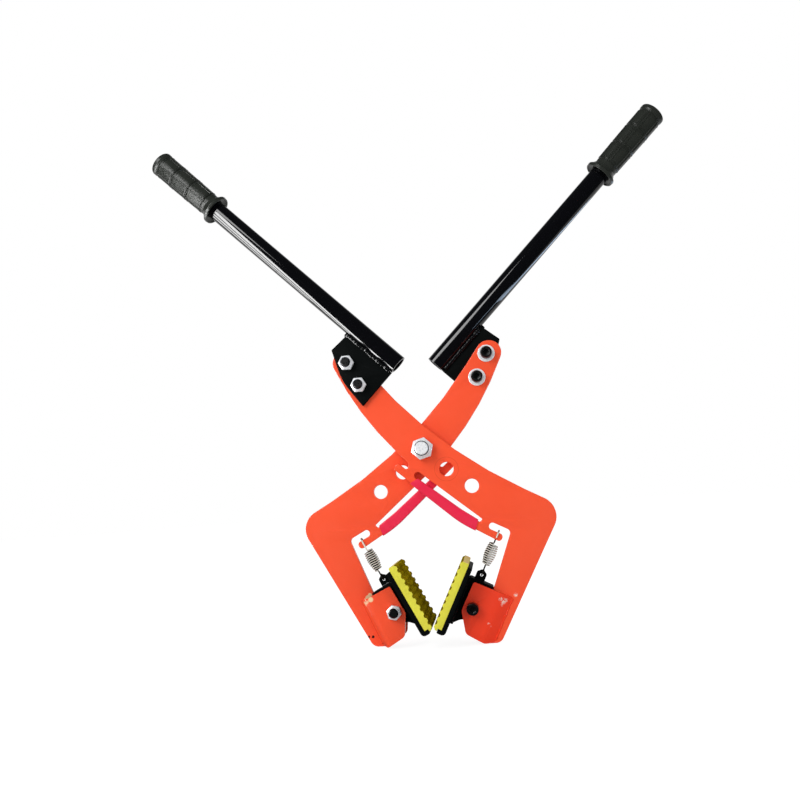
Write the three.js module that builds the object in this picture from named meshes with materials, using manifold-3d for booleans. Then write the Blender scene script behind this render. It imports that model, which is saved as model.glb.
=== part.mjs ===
// Stone carrying clamp: two crossed lever arms, swivelling spring-held jaws and two gripped handles.
// Millimetres, Z up, the front faces -Y. The origin is on the main pivot, midway between the two arms.
// The front side is drawn once, and the rear side is the same set of pieces turned half a turn about Z.
import * as THREE from "three";
import { mergeVertices } from "three/addons/utils/BufferGeometryUtils.js";
import Module from "manifold-3d";

const wasm = await Module();
wasm.setup();

// Shared sizes
const touchGap = 0.3;
const overrun = 2;
const halfShare = 0.5;
const halfTurn = Math.PI;
const quarterTurn = Math.PI / 2;
const fullTurn = Math.PI * 2;
const arcStep = Math.PI / 15;
const roundSides = 28;
const boltSides = 24;
const hexSides = 6;
const nutSides = 4 * hexSides;

// Arm plates
const plateThickness = 8;
const plateSpacing = 4;
const plateCentreY = -halfShare * (plateThickness + plateSpacing);
const plateFrontY = plateCentreY - halfShare * plateThickness;
const plateBackY = plateCentreY + halfShare * plateThickness;

// Arm outline seen from the front, as [x, z, corner radius]
const armOutline = {
  strapTipInner: [-91.4, 145.2, 18],
  saddle: [14, 2, 620],
  elbow: [182.7, -90.7, 27],
  toe: [86.6, -265, 12],
  heel: [67, -265, 8],
  heelCorner: [57.6, -256.9, 4],
  legTop: [111.3, -118.4, 6],
  hookSlotTop: [85.1, -104.7, 4.6],
  hookSlotRoot: [80.7, -113.3, 4.6],
  hookTipUpper: [101, -123.8, 4.4],
  hookTipLower: [96.2, -132.9, 4.4],
  throat: [45, -102.6, 150],
  stubTipLower: [-42.5, -24.6, 4],
  stubTipUpper: [-36, -16.8, 4],
  notchRoot: [-21.5, -29.6, 3.5],
  notchShoulder: [-20.5, -18.5, 8],
  strapOuter: [-86.6, 53.6, 440],
  strapTipOuter: [-127.3, 145.2, 17],
};
const slotOutline = {
  upperInner: [-9.5, -29.6, 4.6],
  upperOuter: [74.5, -100.8, 1.5],
  lowerOuter: [70.5, -104.4, 1.5],
  lowerMiddle: [45, -86.6, 150],
  lowerInner: [-16.3, -36.6, 4.6],
};
const spareHoleRadius = 9.7;
const spareHoles = { near: [30.8, -29.9], far: [63.5, -55] };

// Main pivot: M18 bolt with a locking nut
const pivotRadius = 9;
const pivotHexFlats = 27;
const pivotHeadHeight = 11.5;
const pivotNutHeight = 18;
const pivotNutCorner = (16 * Math.PI) / 180;
const pivotBoltEnd = 2.6;
const pivotSpacerRadius = 15;

// M12 screws for the handles and the jaws
const boltRadius = 6;
const boltFit = 0.3;
const boltHeadRadius = 8;
const boltHeadHeight = 12;
const boltBevel = 1;
const socketFlats = 8;
const socketDepth = 6;
const strapNutFlats = 19;
const strapNutCorner = 0;
const jawNutFlats = 18;
const jawNutCorner = Math.PI / 12;
const nutHeight = 11;
const boltEnd = 2.4;
const washerRadius = 12;
const washerThickness = 2.5;
const holeRadius = boltRadius + boltFit;
const strapHoles = { upper: [-97.1, 126.8], lower: [-81.8, 94.5] };

// Hexagons: the circle of the chamfered top, as a share of the width across the flats
const hexTopShare = 0.95;

// Locking nut shape, as shares of its height and width
const nutHexShare = 0.72;
const nutChamferShare = 0.1;
const nutCollarShare = 0.84;
const nutInsertRecessShare = 0.1;
const nutInsertShare = 0.76;

// Handle: tube, bracket plate and rubber grip
const handleFoot = [-25, 118.2];
const handleAngle = (3 * Math.PI) / 4;
const tubeRadius = 13.45;
const tubeWall = 2.9;
const tubeLength = 465;
const bracketThickness = 6;
const bracketCentreY = plateFrontY - touchGap - halfShare * bracketThickness;
const bracketOutline = {
  tubeFoot: [0, tubeRadius + touchGap, 0],
  lowerTip: [0, 75.2, 1],
  bulge: [45.5, 68, 90],
  upperTip: [86, 45, 1.5],
  tubeHead: [83.3, tubeRadius + touchGap, 0],
};
const gripLength = 112;
const gripStart = tubeLength - gripLength;
const gripWall = 2.7;
const gripCap = 4;
const gripFlangeRadius = 22.3;
const gripFlangeWidth = 5.5;
const gripFlangeRound = 1.6;
const gripNeck = 4;
const gripGrooveDepth = 1.1;
const gripGrooveWidth = 2.6;
const gripSections = 4;
const gripRimRadius = 17.6;
const gripRimWidth = 5;
const gripRimRound = 1.5;

// Rubber sleeve on the inner strip of the arm, drawn by the strip's edges under it
const sleeveWall = 1.5;
const sleeveEdges = {
  lowerInner: [-19.2, -45.4],
  lowerMiddle: [45, -102.6],
  lowerOuter: [64.3, -114],
  upperOuter: [68.2, -102.8],
  upperMiddle: [45, -86.6],
  upperInner: [-10.8, -41.1],
};

// Jaw frame: n points from the jaw bolt to the pad's face and t points up along the pad
const jawBolt = [52.5, -216.7];
const jawLean = (27 * Math.PI) / 180;
const jawWidth = 100;
const jawPlateBack = 20.6;
const jawPlateThickness = 6;
const jawPlateTop = 49.5;
const jawPlateBottom = -44.4;
const lipThickness = 5.7;
const lipFront = 32;
const lipRound = 1.6;
const jawCornerRound = 5.5;
const jawEdgeRound = 1;

// Rubber pad with cross ridges
const padBack = jawPlateBack + jawPlateThickness + touchGap;
const padRoot = 35.9;
const padTop = 54.5;
const padFoot = -41.5;
const padRound = 1.1;
const ridgeHeight = 2.1;
const ridgeCount = 10;
const ridgePitch = (padTop - padFoot) / ridgeCount;
const ridgeTopShare = 0.34;
const ridgeBaseShare = 0.72;

// Swivel lug behind the jaw plate, a folded channel between the cheeks
const lugHalfWidth = 14;
const lugWall = 5;
const lugTop = 36;
const lugFoot = -33;
const lugBack = -15.2;
const lugBossRadius = 15;
const lugChamferEnd = [7, -18.7];
const lugTopRound = 4;
const lugEdgeRound = 1;

// Spring eye on top of the lug
const eyeThickness = 5;
const eyeHole = [5.5, 43.8];
const eyeHoleRadius = 2.5;
const eyeOutline = {
  backFoot: [-1, lugTop + touchGap, 0],
  backTop: [-0.7, 47.2, 3.5],
  top: [6.4, 51.8, 3.5],
  frontTop: [12.9, 46.4, 3],
  frontFoot: [12.9, lugTop + touchGap, 0],
};

// Cheek plates that carry the jaw bolt, bent out from the faces of the arm
const cheekThickness = 6;
const cheekPlay = 0.6;
const cheekInner = lugHalfWidth + cheekPlay;
const cheekOuter = cheekInner + cheekThickness;
const cheekOutline = {
  frontTop: [56.6, -182.4, 3],
  frontBelly: [37.4, -218.6, 12],
  chin: [40.7, -249.6, 8],
  foot: [65, -264.2, 10],
};
const outerCheekSlope = 17;
const outerCheekEdge = { top: [106.8, -206.8, 2], bottom: [77.7, -263.9, 6] };
const innerCheekSlope = 9.7;
const innerCheekEdge = { top: [100.6, -203, 2], bottom: [74, -263, 6] };
const cheekReach = 120;

// Tension spring between the arm's hook and the eye
const hookSeat = [91.5, -125.5];
const springWireRadius = 0.8;
const springTopRadius = 5.7;
const springMiddleRadius = 7.3;
const springFootRadius = 4.4;
const springTurns = 12;
const springCoilStart = 15;
const springCoilEnd = 44.5;
const springBend = 2.2;
const eyeBendDrop = 0.4;
const hookBendLift = 3;
const springTail = 4.2;
const springSides = 5;
const springSteps = 8;
const bendSteps = 6;
const cornerSteps = 3;

// Materials
const paint = (color, roughness, metalness = 0) =>
  new THREE.MeshStandardMaterial({ color, roughness, metalness });
const materials = {
  orange: paint(0xf04a26, 0.42),
  black: paint(0x0d0d0f, 0.22),
  zinc: paint(0xb9bcc0, 0.32, 0.9),
  oxide: paint(0x17181b, 0.45, 0.6),
  spring: paint(0x5b5750, 0.38, 0.85),
  grip: paint(0x232a2a, 0.62),
  sleeve: paint(0xee2f52, 0.5),
  pad: paint(0xd8d43a, 0.55),
};

// Points on a closed outline of [a, b, radius] corners, each corner rounded by an arc
function roundedPoints(corners) {
  const points = [];
  corners.forEach((corner, index) => {
    const here = new THREE.Vector2(corner[0], corner[1]);
    const before = corners[(index + corners.length - 1) % corners.length];
    const after = corners[(index + 1) % corners.length];
    const inward = new THREE.Vector2(before[0], before[1]).sub(here).normalize();
    const outward = new THREE.Vector2(after[0], after[1]).sub(here).normalize();
    const radius = corner[2] ?? 0;
    if (radius === 0) {
      points.push(here);
      return;
    }
    const opening = Math.acos(inward.dot(outward));
    const tangent = radius / Math.tan(opening / 2);
    const bisector = inward.clone().add(outward).normalize();
    const centre = here.clone().addScaledVector(bisector, radius / Math.sin(opening / 2));
    const start = here.clone().addScaledVector(inward, tangent).sub(centre);
    const finish = here.clone().addScaledVector(outward, tangent).sub(centre);
    const turn = Math.atan2(start.cross(finish), start.dot(finish));
    const steps = Math.max(2, Math.ceil(Math.abs(turn) / arcStep));
    for (let step = 0; step <= steps; step += 1) {
      const spoke = start.clone().rotateAround(new THREE.Vector2(), (turn * step) / steps);
      points.push(spoke.add(centre));
    }
  });
  return points;
}

// Points on a circle, for holes
function circlePoints(centre, radius, sides) {
  return Array.from({ length: sides }, (_, index) => {
    const angle = (fullTurn * index) / sides;
    return new THREE.Vector2(centre[0] + radius * Math.cos(angle), centre[1] + radius * Math.sin(angle));
  });
}

// A plate drawn in the XZ view and standing between two Y values
function plate(points, holes, fromY, toY) {
  const shape = new THREE.Shape(THREE.ShapeUtils.isClockWise(points) ? points.reverse() : points);
  holes.forEach((hole) => shape.holes.push(new THREE.Path(hole)));
  const depth = toY - fromY;
  const geometry = new THREE.ExtrudeGeometry(shape, { depth, bevelEnabled: false });
  geometry.rotateX(quarterTurn);
  geometry.translate(0, toY, 0);
  return geometry;
}

// A body of revolution whose profile is [radius, along] and whose axis runs along Y
function turned(profile, sides) {
  const points = profile.map(([radius, along]) => new THREE.Vector2(radius, along));
  return new THREE.LatheGeometry(points, sides);
}

// Conversions to and from solid form, for joining and cutting
function toSolid(geometry) {
  const bare = geometry.clone();
  bare.deleteAttribute("normal");
  bare.deleteAttribute("uv");
  const merged = mergeVertices(bare.index ? bare.toNonIndexed() : bare);
  const mesh = new wasm.Mesh({
    numProp: 3,
    vertProperties: Float32Array.from(merged.attributes.position.array),
    triVerts: Uint32Array.from(merged.index.array),
  });
  return new wasm.Manifold(mesh);
}
function toGeometry(solid) {
  const mesh = solid.getMesh();
  const geometry = new THREE.BufferGeometry();
  geometry.setAttribute("position", new THREE.BufferAttribute(mesh.vertProperties, mesh.numProp));
  geometry.setIndex(new THREE.BufferAttribute(mesh.triVerts, 1));
  geometry.computeVertexNormals();
  return geometry;
}
function cut(geometry, ...tools) {
  const result = tools.reduce((solid, tool) => solid.subtract(toSolid(tool)), toSolid(geometry));
  return toGeometry(result);
}

function piece(name, geometry, material) {
  const mesh = new THREE.Mesh(geometry, material);
  mesh.name = name;
  return mesh;
}

// A point of the jaw frame in the XZ view
function jawPoint(n, t) {
  const x = jawBolt[0] - n * Math.cos(jawLean) + t * Math.sin(jawLean);
  const z = jawBolt[1] + n * Math.sin(jawLean) + t * Math.cos(jawLean);
  return [x, z];
}
const jawCorners = (corners) => corners.map(([n, t, radius]) => [...jawPoint(n, t), radius]);

// A point of the handle frame, along the tube and across it towards the bracket
function handlePoint(along, across) {
  const x = handleFoot[0] + along * Math.cos(handleAngle) - across * Math.sin(handleAngle);
  const z = handleFoot[1] + along * Math.sin(handleAngle) + across * Math.cos(handleAngle);
  return [x, z];
}

// Arm plate with its hook, stub finger, slot and holes
function armPlate() {
  const holes = [
    roundedPoints(Object.values(slotOutline)),
    circlePoints([0, 0], pivotRadius + boltFit, roundSides),
    ...Object.values(spareHoles).map((centre) => circlePoints(centre, spareHoleRadius, roundSides)),
    ...Object.values(strapHoles).map((centre) => circlePoints(centre, holeRadius, boltSides)),
  ];
  return plate(roundedPoints(Object.values(armOutline)), holes, plateFrontY, plateBackY);
}

// A bent sheet whose slope rises from the arm's face, cut to the cheek's outline
function cheek(edge, slopeWidth, footY, side) {
  const { top, bottom } = edge;
  const rise = cheekOuter - footY;
  const slope = Math.atan2(rise, slopeWidth);
  const innerFoot = cheekThickness / Math.sin(slope);
  const innerBend = innerFoot + (cheekInner - footY) / Math.tan(slope);
  const section = new THREE.Shape();
  section.moveTo(0, footY);
  section.lineTo(slopeWidth, cheekOuter);
  section.lineTo(cheekReach, cheekOuter);
  section.lineTo(cheekReach, cheekInner);
  section.lineTo(innerBend, cheekInner);
  section.lineTo(innerFoot, footY);
  const along = new THREE.Vector3(top[0] - bottom[0], 0, top[1] - bottom[1]).normalize();
  const inward = new THREE.Vector3(-along.z, 0, along.x);
  const outward = new THREE.Vector3(0, 1, 0);
  const depth = 2 * cheekReach;
  const sheet = new THREE.ExtrudeGeometry(section, { depth, bevelEnabled: false });
  const frame = new THREE.Matrix4().makeBasis(inward, outward, along.clone().negate());
  sheet.applyMatrix4(frame);
  sheet.translate(bottom[0] + along.x * cheekReach, 0, bottom[1] + along.z * cheekReach);
  const { frontTop, frontBelly, chin, foot } = cheekOutline;
  const outline = roundedPoints([frontTop, top, bottom, foot, chin, frontBelly]);
  const hole = circlePoints(jawBolt, holeRadius, boltSides);
  const reachY = cheekOuter + overrun;
  const bent = toSolid(sheet).intersect(toSolid(plate(outline, [hole], -reachY, reachY)));
  return toGeometry(side < 0 ? bent.mirror([0, 1, 0]) : bent);
}

// Handle parts
function handleBracket() {
  const corners = Object.values(bracketOutline).map(([along, across, radius]) => [
    ...handlePoint(along, across),
    radius,
  ]);
  const holes = Object.values(strapHoles).map((centre) => circlePoints(centre, holeRadius, boltSides));
  const half = halfShare * bracketThickness;
  return plate(roundedPoints(corners), holes, bracketCentreY - half, bracketCentreY + half);
}
function alongHandle(geometry) {
  geometry.rotateX(quarterTurn);
  geometry.rotateY(quarterTurn - handleAngle);
  geometry.translate(handleFoot[0], bracketCentreY, handleFoot[1]);
  return geometry;
}
function handleTube() {
  const inner = tubeRadius - tubeWall;
  const profile = [
    [inner, 0],
    [tubeRadius, 0],
    [tubeRadius, tubeLength],
    [inner, tubeLength],
    [inner, 0],
  ];
  return alongHandle(turned(profile, roundSides));
}
function handleGrip() {
  const bore = tubeRadius + touchGap;
  const body = bore + gripWall;
  const boreEnd = tubeLength + touchGap;
  const end = boreEnd + gripCap;
  const bodyStart = gripStart + gripFlangeWidth + gripNeck;
  const bodyEnd = end - gripRimWidth;
  const groove = body - gripGrooveDepth;
  const profile = [
    [0, boreEnd],
    [bore, boreEnd],
    [bore, gripStart],
    [gripFlangeRadius - gripFlangeRound, gripStart],
    [gripFlangeRadius, gripStart + gripFlangeRound],
    [gripFlangeRadius, gripStart + gripFlangeWidth - gripFlangeRound],
    [gripFlangeRadius - gripFlangeRound, gripStart + gripFlangeWidth],
    [body, bodyStart],
  ];
  const sectionLength = (bodyEnd - bodyStart) / gripSections;
  for (let index = 1; index < gripSections; index += 1) {
    const middle = bodyStart + index * sectionLength;
    const half = halfShare * gripGrooveWidth;
    profile.push([body, middle - half], [groove, middle - half * halfShare]);
    profile.push([groove, middle + half * halfShare], [body, middle + half]);
  }
  profile.push(
    [body, bodyEnd],
    [gripRimRadius, bodyEnd + halfShare * gripRimRound],
    [gripRimRadius, end - gripRimRound],
    [gripRimRadius - gripRimRound, end],
    [0, end],
  );
  return alongHandle(turned(profile, roundSides));
}

// Fasteners along Y: the head or nut stands outward from its seat
function hexPrism(flats, height) {
  const prism = new THREE.CylinderGeometry(flats / Math.sqrt(3), flats / Math.sqrt(3), height, hexSides);
  prism.translate(0, halfShare * height, 0);
  return prism;
}
function chamferedHexagon(profile, flats, height) {
  const round = turned(profile, nutSides);
  round.rotateY(halfTurn / nutSides);
  return toSolid(round).intersect(toSolid(hexPrism(flats, height)));
}
function lockNut(radius, flats, height) {
  const bore = radius + boltFit;
  const corner = flats / Math.sqrt(3);
  const flat = flats * halfShare;
  const chamfer = height * nutChamferShare;
  const hexTop = height * nutHexShare;
  const collar = flat * nutCollarShare;
  const insert = flat * nutInsertShare;
  const rim = halfShare * (collar - insert);
  const recess = height * nutInsertRecessShare;
  const profile = [
    [bore, 0],
    [corner - chamfer, 0],
    [corner + chamfer, 2 * chamfer],
    [corner + chamfer, hexTop - 2 * chamfer],
    [flat * hexTopShare, hexTop],
    [collar, hexTop],
    [collar, height - rim],
    [collar - rim, height],
    [insert, height],
    [insert, height - recess],
    [bore, height - recess],
    [bore, 0],
  ];
  return toGeometry(chamferedHexagon(profile, flats, height));
}
function socketScrew(length) {
  const profile = [
    [0, -length],
    [boltRadius - boltBevel, -length],
    [boltRadius, boltBevel - length],
    [boltRadius, 0],
    [boltHeadRadius, 0],
    [boltHeadRadius, boltHeadHeight - boltBevel],
    [boltHeadRadius - boltBevel, boltHeadHeight],
    [0, boltHeadHeight],
  ];
  const socket = hexPrism(socketFlats, socketDepth + overrun);
  socket.translate(0, boltHeadHeight - socketDepth, 0);
  return cut(turned(profile, boltSides), socket);
}
function hexScrew(length) {
  const outside = pivotHexFlats / Math.sqrt(3) + boltBevel;
  const head = [
    [0, 0],
    [outside, 0],
    [outside, pivotHeadHeight - 2 * boltBevel],
    [pivotHexFlats * halfShare * hexTopShare, pivotHeadHeight],
    [0, pivotHeadHeight],
  ];
  const shank = [
    [0, -length],
    [pivotRadius - boltBevel, -length],
    [pivotRadius, boltBevel - length],
    [pivotRadius, overrun],
    [0, overrun],
  ];
  const cap = chamferedHexagon(head, pivotHexFlats, pivotHeadHeight);
  return toGeometry(cap.add(toSolid(turned(shank, boltSides))));
}
function washer(outer, bore, thickness) {
  const profile = [
    [bore, 0],
    [outer, 0],
    [outer, thickness],
    [bore, thickness],
    [bore, 0],
  ];
  return turned(profile, roundSides);
}

// Puts a fastener on a hole of the XZ view; side 1 points it to the back and side -1 to the front,
// and a hexagon has one of its corners at the given angle of that view
function seated(geometry, centre, seatY, side, hexCorner = 0) {
  geometry.rotateY(quarterTurn - side * hexCorner);
  if (side < 0) geometry.rotateX(halfTurn);
  geometry.translate(centre[0], seatY, centre[1]);
  return geometry;
}

// Rubber sleeve: the strip's edges grown outward, less the strip itself
function grownOutline(points, growths) {
  const count = points.length;
  const lines = points.map((point, index) => {
    const next = points[(index + 1) % count];
    const direction = new THREE.Vector2(next[0] - point[0], next[1] - point[1]).normalize();
    const normal = new THREE.Vector2(direction.y, -direction.x);
    const origin = new THREE.Vector2(point[0], point[1]).addScaledVector(normal, growths[index]);
    return { origin, direction };
  });
  return lines.map((line, index) => {
    const before = lines[(index + count - 1) % count];
    const gap = line.origin.clone().sub(before.origin);
    const reach = gap.cross(line.direction) / before.direction.cross(line.direction);
    return before.origin.clone().addScaledVector(before.direction, reach);
  });
}
function rubberSleeve() {
  const edges = Object.values(sleeveEdges);
  const wall = sleeveWall + touchGap;
  const skin = grownOutline(edges, [wall, wall, 0, wall, wall, 0]);
  const core = grownOutline(edges, [touchGap, touchGap, overrun, touchGap, touchGap, overrun]);
  const outside = plate(skin, [], plateFrontY - wall, plateBackY + wall);
  const inside = plate(core, [], plateFrontY - touchGap, plateBackY + touchGap);
  return cut(outside, inside);
}

// Jaw parts
function jawPlate() {
  const front = jawPlateBack + jawPlateThickness;
  const lipTop = jawPlateBottom + lipThickness;
  const corners = jawCorners([
    [jawPlateBack, jawPlateTop, jawEdgeRound],
    [jawPlateBack, jawPlateBottom, jawCornerRound],
    [lipFront, jawPlateBottom, lipRound],
    [lipFront, lipTop, lipRound],
    [front, lipTop, 0],
    [front, jawPlateTop, jawEdgeRound],
  ]);
  const half = halfShare * jawWidth;
  return plate(roundedPoints(corners), [], -half, half);
}
function jawPad() {
  const seat = jawPlateBottom + lipThickness + touchGap;
  const step = lipFront + touchGap;
  const tip = padRoot + ridgeHeight;
  const corners = [
    [padBack, padTop, padRound],
    [padBack, seat, 0],
    [step, seat, 0],
    [step, padFoot, 0],
    [padRoot, padFoot, padRound],
  ];
  const firstRidge = padFoot + halfShare * ridgePitch;
  for (let index = 0; index < ridgeCount; index += 1) {
    const middle = firstRidge + index * ridgePitch;
    const base = halfShare * ridgeBaseShare * ridgePitch;
    const top = halfShare * ridgeTopShare * ridgePitch;
    corners.push([padRoot, middle - base, 0], [tip, middle - top, 0]);
    corners.push([tip, middle + top, 0], [padRoot, middle + base, 0]);
  }
  corners.push([padRoot, padTop, padRound]);
  const half = halfShare * jawWidth;
  return plate(roundedPoints(jawCorners(corners)), [], -half, half);
}
function jawLug() {
  const front = jawPlateBack - touchGap;
  const outline = jawCorners([
    [front, lugTop, lugTopRound],
    [front, lugFoot, lugEdgeRound],
    [lugChamferEnd[0], lugChamferEnd[1], lugBossRadius],
    [lugBack, lugChamferEnd[1], lugBossRadius],
    [lugBack, lugTop, lugEdgeRound],
  ]);
  const hollow = jawCorners([
    [front - lugWall, lugTop - lugWall, 0],
    [front - lugWall, lugFoot - overrun, 0],
    [lugBack - overrun, lugFoot - overrun, 0],
    [lugBack - overrun, lugTop - lugWall, 0],
  ]);
  const hole = circlePoints(jawBolt, holeRadius, boltSides);
  const halfHollow = lugHalfWidth - lugWall;
  const body = plate(roundedPoints(outline), [hole], -lugHalfWidth, lugHalfWidth);
  return cut(body, plate(roundedPoints(hollow), [], -halfHollow, halfHollow));
}
function springEye() {
  const hole = circlePoints(jawPoint(...eyeHole), eyeHoleRadius, boltSides);
  const half = halfShare * eyeThickness;
  const corners = jawCorners(Object.values(eyeOutline));
  return plate(roundedPoints(corners), [hole], plateCentreY - half, plateCentreY + half);
}

// Radius of the coils at a height along the spring, widest in the middle
function barrelRadius(along) {
  const height = (along - springCoilStart) / (springCoilEnd - springCoilStart);
  const share = Math.min(Math.max(height, 0), 1);
  const straight = springFootRadius + (springTopRadius - springFootRadius) * share;
  const bulge = springMiddleRadius - halfShare * (springFootRadius + springTopRadius);
  return straight + bulge * Math.sin(halfTurn * share);
}

// Centre line of the tension spring: a hook over the arm, the coils, and a hook through the eye
function springPath() {
  const eye = new THREE.Vector3(...jawPoint(...eyeHole)).toArray();
  const foot = new THREE.Vector3(eye[0], plateCentreY, eye[1]);
  const head = new THREE.Vector3(hookSeat[0], plateCentreY, hookSeat[1]);
  const axis = head.clone().sub(foot);
  const length = axis.length();
  axis.normalize();
  const across = new THREE.Vector3(0, 1, 0);
  const sideways = new THREE.Vector3().crossVectors(axis, across);
  const at = (along, angle) => {
    const radius = barrelRadius(along);
    return foot
      .clone()
      .addScaledVector(axis, along)
      .addScaledVector(across, radius * Math.cos(angle))
      .addScaledVector(sideways, radius * Math.sin(angle));
  };
  const bow = (centre, radius, angle) =>
    foot
      .clone()
      .addScaledVector(axis, centre + radius * Math.sin(angle))
      .addScaledVector(across, radius * Math.cos(angle));
  const points = [];
  const hookCentre = length + hookBendLift;
  points.push(bow(hookCentre, springTopRadius, halfTurn).addScaledVector(axis, -springTail));
  for (let step = 0; step <= bendSteps; step += 1) {
    points.push(bow(hookCentre, springTopRadius, halfTurn - (halfTurn * step) / bendSteps));
  }
  const topAngle = springBend / springTopRadius;
  const footAngle = springBend / springFootRadius;
  for (let step = 0; step <= cornerSteps; step += 1) {
    const sweep = (quarterTurn * step) / cornerSteps;
    const drop = springBend * Math.sin(sweep);
    points.push(at(springCoilEnd + springBend - drop, topAngle * (1 - Math.cos(sweep))));
  }
  const coilAngle = fullTurn * springTurns - topAngle - footAngle;
  const coilSteps = springTurns * springSteps;
  for (let step = 1; step < coilSteps; step += 1) {
    const share = step / coilSteps;
    const along = springCoilEnd + (springCoilStart - springCoilEnd) * share;
    points.push(at(along, topAngle + coilAngle * share));
  }
  for (let step = 0; step <= cornerSteps; step += 1) {
    const sweep = (quarterTurn * step) / cornerSteps;
    const drop = springBend * (1 - Math.cos(sweep));
    points.push(at(springCoilStart - drop, -footAngle * (1 - Math.sin(sweep))));
  }
  const eyeCentre = springFootRadius - eyeBendDrop;
  for (let step = 0; step <= bendSteps; step += 1) {
    points.push(bow(eyeCentre, springFootRadius, -(halfTurn * step) / bendSteps));
  }
  points.push(bow(eyeCentre, springFootRadius, -halfTurn).addScaledVector(axis, springTail));
  return points;
}

// A closed tube of few sides along a list of points
function wire(points, radius, sides) {
  const tangents = points.map((point, index) => {
    const before = points[Math.max(index - 1, 0)];
    const after = points[Math.min(index + 1, points.length - 1)];
    return after.clone().sub(before).normalize();
  });
  let normal = new THREE.Vector3(1, 0, 0).cross(tangents[0]).normalize();
  const vertices = [];
  points.forEach((point, index) => {
    const tangent = tangents[index];
    normal = normal.clone().addScaledVector(tangent, -normal.dot(tangent)).normalize();
    const side = new THREE.Vector3().crossVectors(tangent, normal);
    for (let corner = 0; corner < sides; corner += 1) {
      const angle = (fullTurn * corner) / sides;
      const spoke = normal.clone().multiplyScalar(Math.cos(angle)).addScaledVector(side, Math.sin(angle));
      vertices.push(...point.clone().addScaledVector(spoke, radius).toArray());
    }
  });
  const faces = [];
  for (let ring = 0; ring < points.length - 1; ring += 1) {
    for (let corner = 0; corner < sides; corner += 1) {
      const next = (corner + 1) % sides;
      const low = ring * sides;
      const high = low + sides;
      faces.push(low + corner, low + next, high + next, low + corner, high + next, high + corner);
    }
  }
  const last = (points.length - 1) * sides;
  for (let corner = 1; corner < sides - 1; corner += 1) {
    faces.push(0, corner + 1, corner, last, last + corner, last + corner + 1);
  }
  const geometry = new THREE.BufferGeometry();
  geometry.setAttribute("position", new THREE.Float32BufferAttribute(vertices, 3));
  geometry.setIndex(faces);
  geometry.computeVertexNormals();
  return geometry;
}

// The least free gap between turns of a wire, skipping neighbours along it
function leastGap(points, radius) {
  const skip = Math.ceil(springSteps * halfShare) + 1;
  let least = Infinity;
  for (let first = 0; first < points.length; first += 1) {
    for (let second = first + skip; second < points.length; second += 1) {
      least = Math.min(least, points[first].distanceTo(points[second]));
    }
  }
  return least - 2 * radius;
}

// All pieces of one side
function clampSide(prefix) {
  const side = new THREE.Group();
  side.name = `${prefix}_side`;
  const add = (name, geometry, material) => side.add(piece(`${prefix}_${name}`, geometry, material));
  add("arm", armPlate(), materials.orange);
  const outerFoot = -plateFrontY + touchGap;
  const innerFoot = plateBackY + touchGap;
  add("outer_cheek", cheek(outerCheekEdge, outerCheekSlope, outerFoot, -1), materials.orange);
  add("inner_cheek", cheek(innerCheekEdge, innerCheekSlope, innerFoot, 1), materials.orange);
  add("handle_bracket", handleBracket(), materials.black);
  add("handle_tube", handleTube(), materials.black);
  add("handle_grip", handleGrip(), materials.grip);
  const bracketFaceY = bracketCentreY - halfShare * bracketThickness;
  const washerY = plateBackY + touchGap;
  const headY = washerY + washerThickness + touchGap;
  const strapLength = headY - bracketFaceY + touchGap + nutHeight + boltEnd;
  Object.entries(strapHoles).forEach(([place, centre]) => {
    add(`${place}_handle_bolt`, seated(socketScrew(strapLength), centre, headY, 1), materials.oxide);
    const ring = washer(washerRadius, holeRadius, washerThickness);
    add(`${place}_handle_washer`, seated(ring, centre, washerY, 1), materials.zinc);
    const nut = lockNut(boltRadius, strapNutFlats, nutHeight);
    const nutY = bracketFaceY - touchGap;
    add(`${place}_handle_nut`, seated(nut, centre, nutY, -1, strapNutCorner), materials.zinc);
  });
  add("sleeve", rubberSleeve(), materials.sleeve);
  const path = springPath();
  console.log(`${prefix} spring least gap ${leastGap(path, springWireRadius).toFixed(2)} mm`);
  add("spring", wire(path, springWireRadius, springSides), materials.spring);
  add("jaw_plate", jawPlate(), materials.black);
  add("jaw_lug", jawLug(), materials.black);
  add("spring_eye", springEye(), materials.black);
  add("jaw_pad", jawPad(), materials.pad);
  const cheekFaceY = cheekOuter + touchGap;
  const jawBoltLength = 2 * cheekFaceY + nutHeight + boltEnd;
  add("jaw_bolt", seated(socketScrew(jawBoltLength), jawBolt, -cheekFaceY, -1), materials.oxide);
  const jawNut = lockNut(boltRadius, jawNutFlats, nutHeight);
  add("jaw_nut", seated(jawNut, jawBolt, cheekFaceY, 1, jawNutCorner), materials.zinc);
  return side;
}

// Pivot pieces shared by the two sides
function pivotSet() {
  const set = new THREE.Group();
  set.name = "pivot_set";
  const seatY = -plateFrontY + touchGap;
  const length = 2 * seatY + pivotNutHeight + pivotBoltEnd;
  const nut = lockNut(pivotRadius, pivotHexFlats, pivotNutHeight);
  const spacerThickness = plateSpacing - 2 * touchGap;
  const spacer = washer(pivotSpacerRadius, pivotRadius + boltFit, spacerThickness);
  set.add(piece("pivot_bolt", seated(hexScrew(length), [0, 0], seatY, 1), materials.zinc));
  set.add(piece("pivot_nut", seated(nut, [0, 0], -seatY, -1, pivotNutCorner), materials.zinc));
  set.add(piece("pivot_spacer", seated(spacer, [0, 0], -halfShare * spacerThickness, 1), materials.zinc));
  return set;
}

const clamp = new THREE.Group();
clamp.name = "stone_carrying_clamp";
const rearSide = clampSide("rear");
rearSide.rotation.z = halfTurn;
clamp.add(clampSide("front"), rearSide, pivotSet());

export default clamp;
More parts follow.
